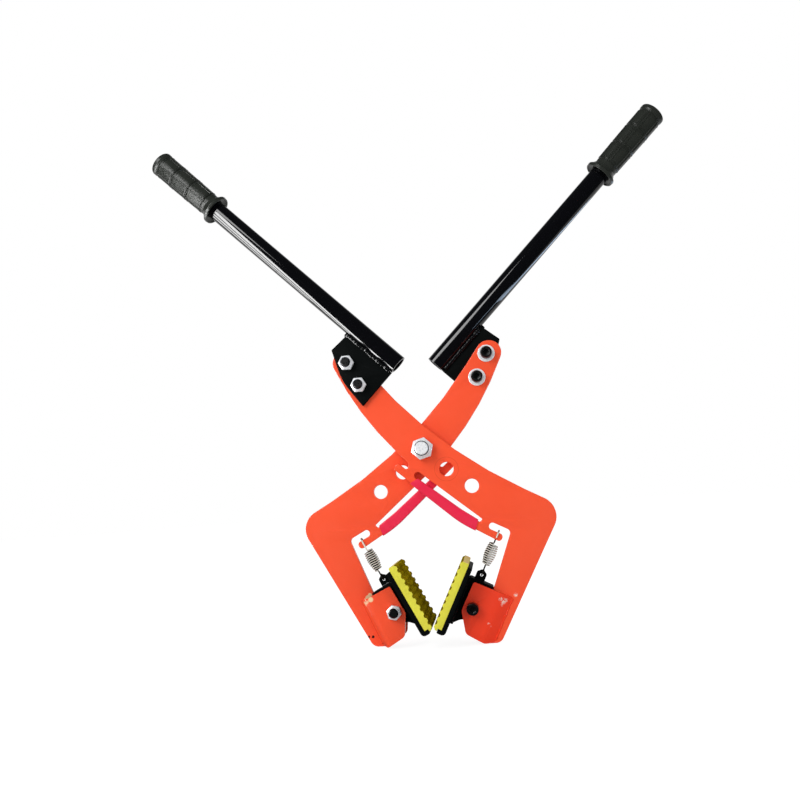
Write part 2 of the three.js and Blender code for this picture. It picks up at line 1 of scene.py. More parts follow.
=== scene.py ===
"""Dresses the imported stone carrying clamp: crossed lever arms, gripped handles, springs and ribbed jaws.

The rear side is the front side turned half a turn about Z, so each piece is drawn once, in the front side's
place, and turned with its side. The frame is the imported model's own: Z up, the front faces -Y and the origin
is on the main pivot, midway between the arms. Sizes are metres, or millimetres where a docstring says so.
"""

import logging
import math
from dataclasses import dataclass
from enum import Enum
from typing import ClassVar, Sequence

import bpy
from bpy.types import ID, Material, Node, NodeSocket, NodeTree, Object
from mathutils import Matrix, Vector
from mathutils.geometry import tessellate_polygon


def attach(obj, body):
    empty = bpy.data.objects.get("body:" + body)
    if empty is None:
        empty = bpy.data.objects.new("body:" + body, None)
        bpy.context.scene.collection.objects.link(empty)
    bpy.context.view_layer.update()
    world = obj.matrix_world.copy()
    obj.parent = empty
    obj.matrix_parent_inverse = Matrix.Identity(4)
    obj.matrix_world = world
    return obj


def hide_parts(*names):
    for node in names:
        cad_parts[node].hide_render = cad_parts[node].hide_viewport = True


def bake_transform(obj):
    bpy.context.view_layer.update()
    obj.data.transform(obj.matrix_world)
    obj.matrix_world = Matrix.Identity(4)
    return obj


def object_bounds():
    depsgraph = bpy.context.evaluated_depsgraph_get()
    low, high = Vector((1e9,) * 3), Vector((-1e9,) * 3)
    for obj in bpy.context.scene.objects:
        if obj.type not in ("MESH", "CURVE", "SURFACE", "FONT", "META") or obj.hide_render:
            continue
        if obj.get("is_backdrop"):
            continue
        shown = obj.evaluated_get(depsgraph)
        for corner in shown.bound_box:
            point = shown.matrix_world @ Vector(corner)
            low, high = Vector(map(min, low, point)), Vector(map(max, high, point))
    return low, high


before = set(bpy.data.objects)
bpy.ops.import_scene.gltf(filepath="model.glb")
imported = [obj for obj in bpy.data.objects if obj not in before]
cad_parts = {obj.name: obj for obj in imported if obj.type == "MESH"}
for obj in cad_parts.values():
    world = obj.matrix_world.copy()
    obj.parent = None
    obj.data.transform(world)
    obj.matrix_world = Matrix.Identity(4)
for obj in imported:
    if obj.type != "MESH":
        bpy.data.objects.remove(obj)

log = logging.getLogger("clamp")
packed_box = [list(corner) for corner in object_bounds()]

Triple = tuple[float, float, float]
Colour = tuple[float, float, float, float]
Corners = tuple[tuple[float, ...], ...]

MM = 0.001
ON_AXIS = 1e-7
ARC_STEP = math.radians(5)
COARSE_STEP = math.radians(15)
STEP_SLACK = 0.01
LEAST_ROUND = 0.02 * MM
SHARP_EDGE = 0.01 * MM
FULL_TURN = 2 * math.pi
QUARTER_TURN = math.pi / 2
SIXTH_TURN = math.pi / 3
SHARP_ANGLE = math.radians(38)


# Sides and shared plate sizes


class Side(Enum):
    """One of the two alike sides of the clamp."""

    FRONT = "front"
    REAR = "rear"

    @property
    def turn(self) -> Matrix:
        """Places a piece drawn for the front side."""
        return Matrix.Rotation(math.pi if self is Side.REAR else 0.0, 4, "Z")

    @property
    def lever(self) -> str:
        """Name of the body that holds this side's arm and handle."""
        return f"{self.value}_lever"

    @property
    def jaw(self) -> str:
        """Name of the body that holds this side's jaw."""
        return f"{self.value}_jaw"

    def node(self, name: str) -> str:
        """Full name of one of this side's nodes."""
        return f"{self.value}_{name}"


@dataclass(frozen=True)
class Levels:
    """Y levels of the front side's plates, and how far apart touching pieces stay."""

    plate: float = 8 * MM
    spacing: float = 4 * MM
    touch: float = 0.3 * MM
    bracket: float = 6 * MM
    washer: float = 2.5 * MM

    @property
    def near(self) -> float:
        """The arm's front face."""
        return -(self.plate + self.spacing / 2)

    @property
    def far(self) -> float:
        """The arm's back face."""
        return -self.spacing / 2

    @property
    def middle(self) -> float:
        """The arm's middle plane."""
        return (self.near + self.far) / 2

    @property
    def bracket_middle(self) -> float:
        """The handle bracket's middle plane, which holds the tube's axis."""
        return self.near - self.touch - self.bracket / 2


LEVELS = Levels()
JAW_BOLT = Vector((52.5 * MM, -216.7 * MM))
JAW_LEAN = math.radians(27)
STRAP_HOLES = (Vector((-97.1 * MM, 126.8 * MM)), Vector((-81.8 * MM, 94.5 * MM)))
SCREW_HOLE = 6.3 * MM
HANDLE_FOOT = Vector((-25.0, 118.2)) * MM
SPRING_SEAT = (91.5 * MM, -125.5 * MM)
SPRING_EYE = (5.5 * MM, 43.8 * MM)


# Shapes


def at_level(point: Vector, level: float) -> Vector:
    """The point of the model that lies at a point of the XZ view and at a Y level."""
    return Vector((point.x, level, point.y))


def corners_mm(*corners: tuple[float, ...]) -> tuple[Triple, ...]:
    """Turns (a, b) or (a, b, radius) corners in millimetres into metres.

    Args:
        corners: The outline's corners in order.

    Returns:
        The same corners as (a, b, radius) in metres.
    """
    return tuple((c[0] * MM, c[1] * MM, (c[2] if len(c) > 2 else 0.0) * MM) for c in corners)


def rounded(corners: Sequence[Triple], step: float = ARC_STEP) -> list[Vector]:
    """Rounds the corners of a closed outline by arcs.

    Args:
        corners: (a, b, radius) in order round the outline.
        step: The widest turn between two points of an arc.

    Returns:
        The outline's points.
    """
    points: list[Vector] = []
    for index, (a, b, radius) in enumerate(corners):
        here = Vector((a, b))
        before = (Vector(corners[index - 1][:2]) - here).normalized()
        after = (Vector(corners[(index + 1) % len(corners)][:2]) - here).normalized()
        if radius == 0:
            points.append(here)
            continue
        half = math.acos(max(-1.0, min(1.0, before.dot(after)))) / 2
        centre = here + (before + after).normalized() * radius / math.sin(half)
        start = here + before * radius / math.tan(half) - centre
        finish = here + after * radius / math.tan(half) - centre
        turn = math.atan2(start.cross(finish), start.dot(finish))
        steps = max(3, math.ceil(abs(turn) / step - STEP_SLACK))
        points += [centre + Matrix.Rotation(turn * i / steps, 2) @ start for i in range(steps + 1)]
    return points


def circle(centre: Vector, radius: float, sides: int = 56) -> list[Vector]:
    """Points on a circle.

    Args:
        centre: The circle's centre.
        radius: Its radius.
        sides: How many points it has.

    Returns:
        The points, anticlockwise.
    """
    angles = [FULL_TURN * i / sides for i in range(sides)]
    return [centre + radius * Vector((math.cos(angle), math.sin(angle))) for angle in angles]


def signed_area(points: Sequence[Vector]) -> float:
    """Area of a closed outline, above zero when it runs anticlockwise."""
    return sum(a.cross(b) for a, b in zip(points, [*points[1:], points[0]])) / 2


@dataclass(frozen=True)
class Outline:
    """A closed outline of (a, b, radius) corners in metres, with its material on its left."""

    corners: tuple[Triple, ...]
    step: float = ARC_STEP

    def facing(self, anticlockwise: bool) -> "Outline":
        """The same outline, run one way round or the other.

        Args:
            anticlockwise: Which way round it has to run.

        Returns:
            An outline that runs that way.
        """
        places = [Vector(corner[:2]) for corner in self.corners]
        if (signed_area(places) > 0) == anticlockwise:
            return self
        return Outline(tuple(reversed(self.corners)), self.step)

    def points(self, inset: float = 0.0) -> list[Vector]:
        """The outline's points, moved into the material.

        Args:
            inset: How far every side moves to its left.

        Returns:
            The points, as many for every inset.
        """
        places = [Vector(corner[:2]) for corner in self.corners]
        ways = [(after - here).normalized() for here, after in zip(places, [*places[1:], places[0]])]
        moved = []
        for index, (a, b, radius) in enumerate(self.corners):
            into, out = ways[index - 1], ways[index]
            lefts = Vector((-into.y, into.x)), Vector((-out.y, out.x))
            shift = inset * (lefts[0] + lefts[1]) / (1 + lefts[0].dot(lefts[1]))
            grown = radius - inset if into.cross(out) > 0 else radius + inset
            moved.append((a + shift.x, b + shift.y, max(grown, LEAST_ROUND) if radius > 0 else 0.0))
        return rounded(moved, self.step)


@dataclass(frozen=True)
class RoundHole:
    """A round hole through a plate."""

    centre: Vector
    radius: float
    sides: int = 56

    def facing(self, anticlockwise: bool) -> "RoundHole":
        """The hole itself, which is only ever cut out."""
        return self

    def points(self, inset: float = 0.0) -> list[Vector]:
        """The hole's points, clockwise, moved outward into the material."""
        return list(reversed(circle(self.centre, self.radius + inset, self.sides)))


class Draft:
    """Points and faces of a mesh in the making."""

    def __init__(self) -> None:
        """Starts with nothing."""
        self.points: list[Vector] = []
        self.faces: list[tuple[int, ...]] = []
        self.flat: set[int] = set()

    def ring(self, points: Sequence[Vector]) -> list[int]:
        """Adds points and returns their numbers.

        Args:
            points: The points in order.

        Returns:
            Their numbers.
        """
        first = len(self.points)
        self.points += [Vector(p) for p in points]
        return list(range(first, len(self.points)))

    def strip(self, low: Sequence[int], high: Sequence[int]) -> None:
        """Joins two closed rings of as many points by a band of faces.

        Args:
            low: The first ring's numbers.
            high: The second ring's numbers. A ring of one point makes a cone.
        """
        count = max(len(low), len(high))
        for i in range(count):
            j = (i + 1) % count
            corners = [low[i % len(low)], low[j % len(low)], high[j % len(high)], high[i % len(high)]]
            face = tuple(dict.fromkeys(corners))
            if len(face) > 2:
                self.faces.append(face)

    def cap(self, face: tuple[int, ...]) -> None:
        """Adds one face that is shaded flat."""
        self.flat.add(len(self.faces))
        self.faces.append(face)

    def build(self, name: str, place: Matrix = Matrix.Identity(4)) -> Object:
        """Makes the object.

        Args:
            name: The object's name.
            place: Moves the points to their place.

        Returns:
            The linked object, at the origin.
        """
        mesh = bpy.data.meshes.new(name)
        mesh.from_pydata([place @ p for p in self.points], [], self.faces)
        mesh.shade_smooth()
        for index in self.flat:
            mesh.polygons[index].use_smooth = False
        mesh.set_sharp_from_angle(angle=SHARP_ANGLE)
        mesh.update()
        return linked(name, mesh)


def linked(name: str, data: ID) -> Object:
    """A new object of some mesh, lamp or camera data, linked to the scene.

    Args:
        name: The object's name.
        data: What it shows.

    Returns:
        The object.
    """
    made = bpy.data.objects.new(name, data)
    bpy.context.scene.collection.objects.link(made)
    return made


def plate(
    name: str,
    outline: Outline,
    holes: Sequence[Outline | RoundHole],
    near: float,
    far: float,
    edge: float = 0.6 * MM,
    steps: int = 3,
) -> Object:
    """A plate drawn in the XZ view, with rounded edges.

    Args:
        name: The object's name.
        outline: The plate's outline.
        holes: What is cut out of it.
        near: Y of its front face.
        far: Y of its back face.
        edge: Radius of its edges.
        steps: How many faces round an edge.

    Returns:
        The plate.
    """
    loops = [outline.facing(True), *(hole.facing(False) for hole in holes)]
    draft = Draft()
    turns = [QUARTER_TURN * i / steps for i in range(steps + 1)]
    levels = [(edge * (1 - math.sin(turn)), edge * (1 - math.cos(turn))) for turn in turns]
    rings = [(inset, near + depth) for inset, depth in levels]
    rings += [(inset, far - depth) for inset, depth in reversed(levels)]
    ends: list[list[list[int]]] = [[], []]
    for loop in loops:
        numbers = [draft.ring([at_level(p, y) for p in loop.points(inset)]) for inset, y in rings]
        for first, second in zip(numbers, numbers[1:]):
            draft.strip(second, first)
        ends[0].append(numbers[0])
        ends[1].append(numbers[-1])
    flat_loops = [[draft.points[i].xz.to_3d() for i in ring] for ring in ends[0]]
    for triangle in tessellate_polygon(flat_loops):
        for end, anticlockwise in zip(ends, (True, False)):
            numbers = [i for ring in end for i in ring]
            face = [numbers[i] for i in triangle]
            a, b, c = (draft.points[i].xz for i in face)
            if ((b - a).cross(c - a) > 0) != anticlockwise:
                face.reverse()
            draft.cap(tuple(face))
    return draft.build(name)


def off_flat(angle: float) -> float:
    """How far an angle is from the middle of the nearest side of a hexagon."""
    return (angle + SIXTH_TURN / 2) % SIXTH_TURN - SIXTH_TURN / 2


def turned(
    name: str, profile: Sequence[Vector], place: Matrix, sides: int = 64, flats: float = 0.0
) -> Object:
    """A turned body, or one with hexagon sides.

    Args:
        name: The object's name.
        profile: (radius, along) points. It starts and ends on the axis, or is closed.
        place: Moves the local Z axis to its place.
        sides: How many steps go round.
        flats: Width across the flats of a hexagon that the body is cut by, or zero.

    Returns:
        The body.
    """
    draft = Draft()
    rings = []
    for point in profile:
        if point.x < ON_AXIS:
            rings.append(draft.ring([Vector((0, 0, point.y))]))
            continue
        ring = []
        for i in range(sides):
            angle = FULL_TURN * i / sides
            reach = min(point.x, flats / 2 / math.cos(off_flat(angle))) if flats else point.x
            ring.append(Vector((reach * math.cos(angle), reach * math.sin(angle), point.y)))
        rings.append(draft.ring(ring))
    pairs = list(zip(rings, rings[1:]))
    if profile[0].x > ON_AXIS:
        pairs.append((rings[-1], rings[0]))
    for low, high in pairs:
        draft.strip(low, high)
    return draft.build(name, place)


def profile_mm(*corners: tuple[float, ...]) -> list[Vector]:
    """Rounds a turned body's profile given in millimetres.

    Args:
        corners: (radius, along) or (radius, along, fillet) corners.

    Returns:
        The profile's points in metres.
    """
    return rounded(corners_mm(*corners), COARSE_STEP)


def along_y(centre: Vector, level: float, forward: bool) -> Matrix:
    """Places a turned body on a hole of the XZ view.

    Args:
        centre: The hole's centre.
        level: Y of the seat.
        forward: True where the body's axis points to the front.

    Returns:
        The matrix that places it.
    """
    turn = Matrix.Rotation(QUARTER_TURN if forward else -QUARTER_TURN, 4, "X")
    return Matrix.Translation((centre.x, level, centre.y)) @ turn


def jaw_ways() -> tuple[Vector, Vector]:
    """The jaw's directions in the XZ view: out of the pad's face, and up along the pad."""
    upright = Vector((math.sin(JAW_LEAN), math.cos(JAW_LEAN)))
    return Vector((-upright.y, upright.x)), upright


def jaw_point(forward: float, up: float) -> Vector:
    """A point of the jaw in the XZ view.

    Args:
        forward: Distance in front of the jaw bolt, towards the pad's face.
        up: Distance above the jaw bolt, along the pad.

    Returns:
        The point.
    """
    normal, upright = jaw_ways()
    return JAW_BOLT + normal * forward + upright * up


def jaw_outline(corners: Sequence[Triple], step: float = ARC_STEP) -> Outline:
    """Places an outline given in the jaw's own directions."""
    return Outline(tuple((*jaw_point(n, t), r) for n, t, r in corners), step)


# Node trees


def find_input(node: Node, key: str) -> NodeSocket:
    """The enabled input of a node whose name is the key with spaces."""
    wanted = key.replace("_", " ").lower()
    return next(s for s in node.inputs if s.enabled and s.name.lower() == wanted)


class NodeKit:
    """Short ways to add nodes to a tree."""

    def __init__(self, group: NodeTree) -> None:
        """Works on one tree."""
        self.group = group

    def connect(self, socket: NodeSocket, value: object) -> None:
        """Links a socket to another, or sets its value.

        Args:
            socket: The input to fill.
            value: An output socket, or a value of the input's kind.
        """
        if isinstance(value, NodeSocket):
            self.group.links.new(value, socket)
        else:
            socket.default_value = value

    def add(self, kind: str, settings: dict[str, object] | None = None, **inputs: object) -> Node:
        """Adds a node.

        Args:
            kind: The node's type.
            settings: Its properties.
            inputs: Its inputs by name, with underscores for spaces: values or sockets.

        Returns:
            The node.
        """
        node = self.group.nodes.new(kind)
        for key, value in (settings or {}).items():
            setattr(node, key, value)
        for key, value in inputs.items():
            self.connect(find_input(node, key), value)
        return node

    def math(self, operation: str, first: object, second: object = 0.0) -> NodeSocket:
        """Adds a Math node on one or two values and returns its result.

        Args:
            operation: The node's operation.
            first: A value or socket.
            second: Another one, which some operations leave unused.

        Returns:
            The result's socket.
        """
        node = self.add("ShaderNodeMath", {"operation": operation})
        self.connect(node.inputs[0], first)
        self.connect(node.inputs[1], second)
        return node.outputs[0]

    def vector(self, operation: str, first: object, second: object) -> NodeSocket:
        """Adds a Vector Math node on two vectors, or on a vector and a factor for SCALE.

        Args:
            operation: The node's operation.
            first: A vector or socket.
            second: Another one, or the factor.

        Returns:
            The result's socket.
        """
        node = self.add("ShaderNodeVectorMath", {"operation": operation})
        self.connect(node.inputs[0], first)
        self.connect(node.inputs["Scale"] if operation == "SCALE" else node.inputs[1], second)
        return node.outputs["Value" if operation in ("DOT_PRODUCT", "DISTANCE") else "Vector"]


class Tree(NodeKit):
    """A Geometry Nodes tree with named inputs."""

    def __init__(self, name: str) -> None:
        """Makes an empty tree with a geometry input and output.

        Args:
            name: The tree's name.
        """
        super().__init__(bpy.data.node_groups.new(name, "GeometryNodeTree"))
        self.group.interface.new_socket("Geometry", in_out="OUTPUT", socket_type="NodeSocketGeometry")
        self.names: dict[str, str] = {}
        self.entry = self.add("NodeGroupInput")
        self.exit = self.add("NodeGroupOutput")
        self.source = self.input("Geometry", "Geometry")

    def input(self, name: str, kind: str) -> NodeSocket:
        """Adds a named input.

        Args:
            name: The input's name.
            kind: Its socket type, without the words that all types start with.

        Returns:
            The socket that gives its value.
        """
        socket = self.group.interface.new_socket(name, in_out="INPUT", socket_type=f"NodeSocket{kind}")
        self.names[name] = socket.identifier
        return self.entry.outputs[name]

    def finish(self, geometry: NodeSocket) -> None:
        """Ends the tree by realising what it made and giving it the material that it is run with.

        Args:
            geometry: What the tree made.
        """
        real = self.add("GeometryNodeRealizeInstances", Geometry=geometry)
        material = self.input("Material", "Material")
        dressed = self.add("GeometryNodeSetMaterial", Geometry=real.outputs[0], Material=material)
        self.connect(self.exit.inputs[0], dressed.outputs[0])

    def run(self, source: Object, name: str, **values: object) -> Object:
        """Runs the tree on an object and keeps the result as a plain mesh.

        Args:
            source: The object that the tree starts from, which is used up.
            name: The new object's name.
            values: The tree's inputs by name, with underscores for spaces.

        Returns:
            The new object.
        """
        modifier = source.modifiers.new("tree", "NODES")
        modifier.node_group = self.group
        for key, value in values.items():
            modifier[self.names[key.replace("_", " ")]] = value
        return baked(source, name)


def baked(source: Object, name: str) -> Object:
    """A new object that holds what the source's modifiers make.

    Args:
        source: The object with modifiers, which is used up.
        name: The new object's name.

    Returns:
        The new object, linked to the scene.
    """
    evaluated = source.evaluated_get(bpy.context.evaluated_depsgraph_get())
    made = linked(name, bpy.data.meshes.new_from_object(evaluated))
    bpy.data.objects.remove(source)
    return made


def sweep_tree() -> Tree:
    """A tree that sweeps a round wire or a rippled weld bead along a path.

    Returns:
        The tree, with inputs for the radius, the steps, the ripples and the lumps.
    """
    tree = Tree("swept_round")
    names = ("Radius", "Spacing", "Ripple share", "Ripple pitch", "Lump height", "Lump scale")
    radius, spacing, depth, pitch, lump, lump_scale = (tree.input(name, "Float") for name in names)
    sides = tree.input("Sides", "Int")
    curve = tree.add("GeometryNodeMeshToCurve", Mesh=tree.source)
    evened = tree.add("GeometryNodeResampleCurve", {"mode": "LENGTH"}, Curve=curve.outputs[0], Length=spacing)
    along = tree.add("GeometryNodeSplineParameter").outputs["Length"]
    phase = tree.math("MULTIPLY", tree.math("DIVIDE", along, pitch), math.pi)
    swell = tree.math("MULTIPLY", tree.math("ABSOLUTE", tree.math("SINE", phase)), depth)
    width = tree.math("SUBTRACT", tree.math("ADD", 1.0, swell), depth)
    ring = tree.add("GeometryNodeCurvePrimitiveCircle", {"mode": "RADIUS"}, Resolution=sides, Radius=radius)
    ends = {"Curve": evened.outputs[0], "Profile_Curve": ring.outputs[0]}
    tube = tree.add("GeometryNodeCurveToMesh", **ends, Scale=width, Fill_Caps=True)
    noise = tree.add("ShaderNodeTexNoise", Scale=lump_scale)
    height = tree.math("MULTIPLY", tree.math("SUBTRACT", noise.outputs[0], 0.5), lump)
    offset = tree.vector("SCALE", tree.add("GeometryNodeInputNormal").outputs[0], height)
    lumpy = tree.add("GeometryNodeSetPosition", Geometry=tube.outputs[0], Offset=offset)
    tree.finish(tree.add("GeometryNodeSetShadeSmooth", Geometry=lumpy.outputs[0]).outputs[0])
    return tree


def repeat_tree() -> Tree:
    """A tree that repeats one shape evenly round an axis.

    Returns:
        The tree, with inputs for the count and the turn from one to the next.
    """
    tree = Tree("repeated_shape")
    count, turn = tree.input("Count", "Int"), tree.input("Turn", "Vector")
    points = tree.add("GeometryNodePoints", Count=count).outputs[0]
    copies = tree.add("GeometryNodeInstanceOnPoints", Points=points, Instance=tree.source).outputs[0]
    turns = tree.vector("SCALE", turn, tree.add("GeometryNodeInputIndex").outputs[0])
    placed = tree.add("GeometryNodeRotateInstances", Instances=copies, Rotation=turns, Local_Space=False)
    tree.finish(placed.outputs[0])
    return tree


# Finishes


def linear(red: int, green: int, blue: int) -> Colour:
    """Turns a colour written in 0 to 255 into the shader's own values.

    Args:
        red: Red, 0 to 255.
        green: Green, 0 to 255.
        blue: Blue, 0 to 255.

    Returns:
        The colour as a shader takes it, opaque.
    """
    parts = [value / 255 for value in (red, green, blue)]
    straight = [p / 12.92 if p <= 0.04045 else ((p + 0.055) / 1.055) ** 2.4 for p in parts]
    return (*straight, 1.0)


class Paintbox(NodeKit):
    """A material's node tree with short ways to add what the finishes share."""

    def __init__(self, name: str) -> None:
        """Makes a material with one Principled shader that reads Object coordinates.

        Args:
            name: The material's name.
        """
        self.material = bpy.data.materials.new(name)
        self.material.use_nodes = True
        super().__init__(self.material.node_tree)
        self.shader = self.group.nodes["Principled BSDF"]
        coordinates = self.add("ShaderNodeTexCoord")
        self.place, self.normal = coordinates.outputs["Object"], coordinates.outputs["Normal"]

    def set(self, **inputs: object) -> None:
        """Sets or links the shader's own sockets."""
        for key, value in inputs.items():
            self.connect(find_input(self.shader, key), value)

    def scaled(self, value: NodeSocket, low: float, high: float, to_low: float, to_high: float) -> NodeSocket:
        """Maps a value from one range to another and holds it there."""
        ends = {"From_Min": low, "From_Max": high, "To_Min": to_low, "To_Max": to_high}
        return self.add("ShaderNodeMapRange", Value=value, **ends).outputs[0]

    def rise(self, value: NodeSocket, middle: float, width: float) -> NodeSocket:
        """A share that rises from 0 to 1 as a value passes the middle of a narrow band."""
        return self.scaled(value, middle - width / 2, middle + width / 2, 0.0, 1.0)

    def near(self, centre: Vector, reach: float, soft: float) -> NodeSocket:
        """A share that is 1 near a point and falls to 0.

        Args:
            centre: The point.
            reach: Distance at which the share is half.
            soft: Width of the fall.

        Returns:
            The share.
        """
        away = self.vector("DISTANCE", self.place, tuple(centre))
        return self.scaled(away, reach - soft / 2, reach + soft / 2, 1.0, 0.0)

    def split(self, vector: NodeSocket) -> tuple[NodeSocket, ...]:
        """The three parts of a vector."""
        return tuple(self.add("ShaderNodeSeparateXYZ", Vector=vector).outputs)

    def mix(self, share: object, first: object, second: object) -> NodeSocket:
        """Mixes two colours by a share and returns the result."""
        return self.add("ShaderNodeMix", {"data_type": "RGBA"}, Factor=share, A=first, B=second).outputs[2]

    def bump(self, height: NodeSocket, distance: float, strength: float = 1.0) -> None:
        """Adds a bump under the shader, over any that is there.

        Args:
            height: How high the surface is at each place.
            distance: Height in metres that a value of 1 stands for.
            strength: How much of it shows.
        """
        below = self.shader.inputs["Normal"]
        node = self.add("ShaderNodeBump", Height=height, Distance=distance, Strength=strength)
        if below.is_linked:
            self.connect(node.inputs["Normal"], below.links[0].from_socket)
        self.connect(below, node.outputs[0])


@dataclass(frozen=True)
class Cloud:
    """A noise over the surface: lumps per metre, finer levels and their weight, and the range that counts."""

    scale: float
    detail: float = 2.0
    roughness: float = 0.5
    low: float = 0.3
    high: float = 0.7

    def noise(self, box: Paintbox) -> NodeSocket:
        """The noise itself, about 0 to 1."""
        levels = {"Detail": self.detail, "Roughness": self.roughness}
        return box.add("ShaderNodeTexNoise", Vector=box.place, Scale=self.scale, **levels).outputs[0]

    def between(self, box: Paintbox, first: float, last: float) -> NodeSocket:
        """The noise, mapped to run from a first value to a last one."""
        return box.scaled(self.noise(box), self.low, self.high, first, last)


@dataclass(frozen=True)
class Finish:
    """How a kind of surface looks. Each kind says what its nodes are."""

    name: str
    slot: str
    colour: Colour
    roughness: float
    specular: float = 0.5
    gloss: ClassVar[Cloud]
    gloss_spread: ClassVar[tuple[float, float]]

    def tint(self, box: Paintbox) -> NodeSocket:
        """The surface's colour at each place."""
        raise NotImplementedError

    def relief(self) -> tuple[tuple[Cloud, float, float], ...]:
        """The surface's fine relief: each noise with its height and its strength."""
        raise NotImplementedError

    def paint(self, box: Paintbox) -> None:
        """Adds this finish's colour, gloss and relief.

        Args:
            box: The material's nodes.
        """
        smoother, rougher = (self.roughness + change for change in self.gloss_spread)
        box.set(Base_Color=self.tint(box), Roughness=self.gloss.between(box, smoother, rougher))
        box.set(Specular_IOR_Level=self.specular)
        for cloud, height, strength in self.relief():
            box.bump(cloud.noise(box), height, strength)

    @property
    def material(self) -> Material:
        """The finish's material, made the first time that it is asked for."""
        found = bpy.data.materials.get(self.name)
        if found is None:
            box = Paintbox(self.name)
            self.paint(box)
            found = box.material
        return found


class Wear(Enum):
    """What a mark on the paint looks like."""

    CHIP = "chip"
    # Cream patches: partly worn paint, partly a painted highlight.
    WORN = "worn"
    HOLE = "hole"
    RING = "ring"


WEAR_COLOURS = {
    Wear.CHIP: (0.95, 0.78, 0.68, 1.0),
    Wear.WORN: (0.95, 0.66, 0.38, 1.0),
    Wear.HOLE: (0.03, 0.01, 0.01, 1.0),
    Wear.RING: (0.45, 0.03, 0.01, 1.0),
}


@dataclass(frozen=True)
class Mark:
    """A mark on the paint, as the ball that it lies in, in millimetres."""

    wear: Wear
    centre: Triple
    reach: float
    ring_width: ClassVar[float] = 0.6 * MM
    ring_blur: ClassVar[float] = 0.5 * MM
    ring_share: ClassVar[float] = 0.35
    frayed: ClassVar[tuple[float, float]] = (0.44, 0.5)

    def share(self, box: Paintbox, grain: NodeSocket) -> NodeSocket:
        """How much the mark shows at each place.

        Args:
            box: The material that it is in.
            grain: A fine noise that frays a chip's edge.

        Returns:
            The share, from 0 to 1.
        """
        centre, reach = Vector(self.centre) * MM, self.reach * MM
        if self.wear is Wear.CHIP:
            bare = box.scaled(grain, *self.frayed, 0.0, 1.0)
            return box.math("MULTIPLY", box.near(centre, reach, reach), bare)
        if self.wear is Wear.RING:
            inside = box.near(centre, reach - self.ring_width, self.ring_blur)
            band = box.math("SUBTRACT", box.near(centre, reach, self.ring_blur), inside)
            return box.math("MULTIPLY", band, self.ring_share)
        return box.near(centre, reach, reach / 4)


@dataclass(frozen=True)
class PowderCoat(Finish):
    """Baked paint with a fine orange-peel surface, small variations and a few bare chips."""

    specular: float = 0.3
    deep: Colour = (0.8, 0.06, 0.02, 1.0)
    marks: tuple[Mark, ...] = ()
    peel: float = 0.02 * MM
    gloss = Cloud(55.0, 4.0, 0.6)
    gloss_spread = (-0.03, 0.05)

    def tint(self, box: Paintbox) -> NodeSocket:
        """The coat's colour with its marks.

        Args:
            box: The material's nodes.

        Returns:
            The colour's socket.
        """
        colour = box.mix(Cloud(9.0, 3.0, low=0.35).between(box, 0.0, 0.5), self.colour, self.deep)
        grain = Cloud(420.0, 3.0, 0.6).noise(box)
        for mark in self.marks:
            colour = box.mix(mark.share(box, grain), colour, WEAR_COLOURS[mark.wear])
        return colour

    def relief(self) -> tuple[tuple[Cloud, float, float], ...]:
        """The coat's peel."""
        return (Cloud(700.0), self.peel, 1.0), (Cloud(160.0), 2 * self.peel, 0.6)


@dataclass(frozen=True)
class GlossPaint(Finish):
    """Wet-looking black paint with faint runs and dust."""

    specular: float = 0.32
    wave: float = 0.06 * MM
    dust: Colour = linear(60, 62, 66)
    gloss = Cloud(40.0, 3.0)
    gloss_spread = (-0.03, 0.06)

    def tint(self, box: Paintbox) -> NodeSocket:
        """The paint's colour with its dust."""
        return box.mix(Cloud(900.0, 4.0, 0.7, 0.62, 0.75).between(box, 0.0, 0.25), self.colour, self.dust)

    def relief(self) -> tuple[tuple[Cloud, float, float], ...]:
        """The paint's runs and grains."""
        return (Cloud(60.0), self.wave, 0.5), (Cloud(900.0), 0.2 * self.wave, 1.0)


@dataclass(frozen=True)
class Rubber(Finish):
    """Moulded rubber with a fine grain and a dusty bloom."""

    specular: float = 0.35
    bloom: Colour = (0.1, 0.1, 0.1, 1.0)
    bloom_share: float = 0.4
    grain: float = 0.05 * MM
    gloss = Cloud(120.0, 3.0)
    gloss_spread = (-0.06, 0.08)

    def tint(self, box: Paintbox) -> NodeSocket:
        """The rubber's colour with its bloom."""
        cloud = Cloud(35.0, 4.0, 0.65, 0.35, 0.75)
        return box.mix(cloud.between(box, 0.0, self.bloom_share), self.colour, self.bloom)

    def relief(self) -> tuple[tuple[Cloud, float, float], ...]:
        """The rubber's grain."""
        return (Cloud(1100.0, 3.0, 0.6), self.grain, 1.0), (Cloud(220.0), self.grain, 0.5)


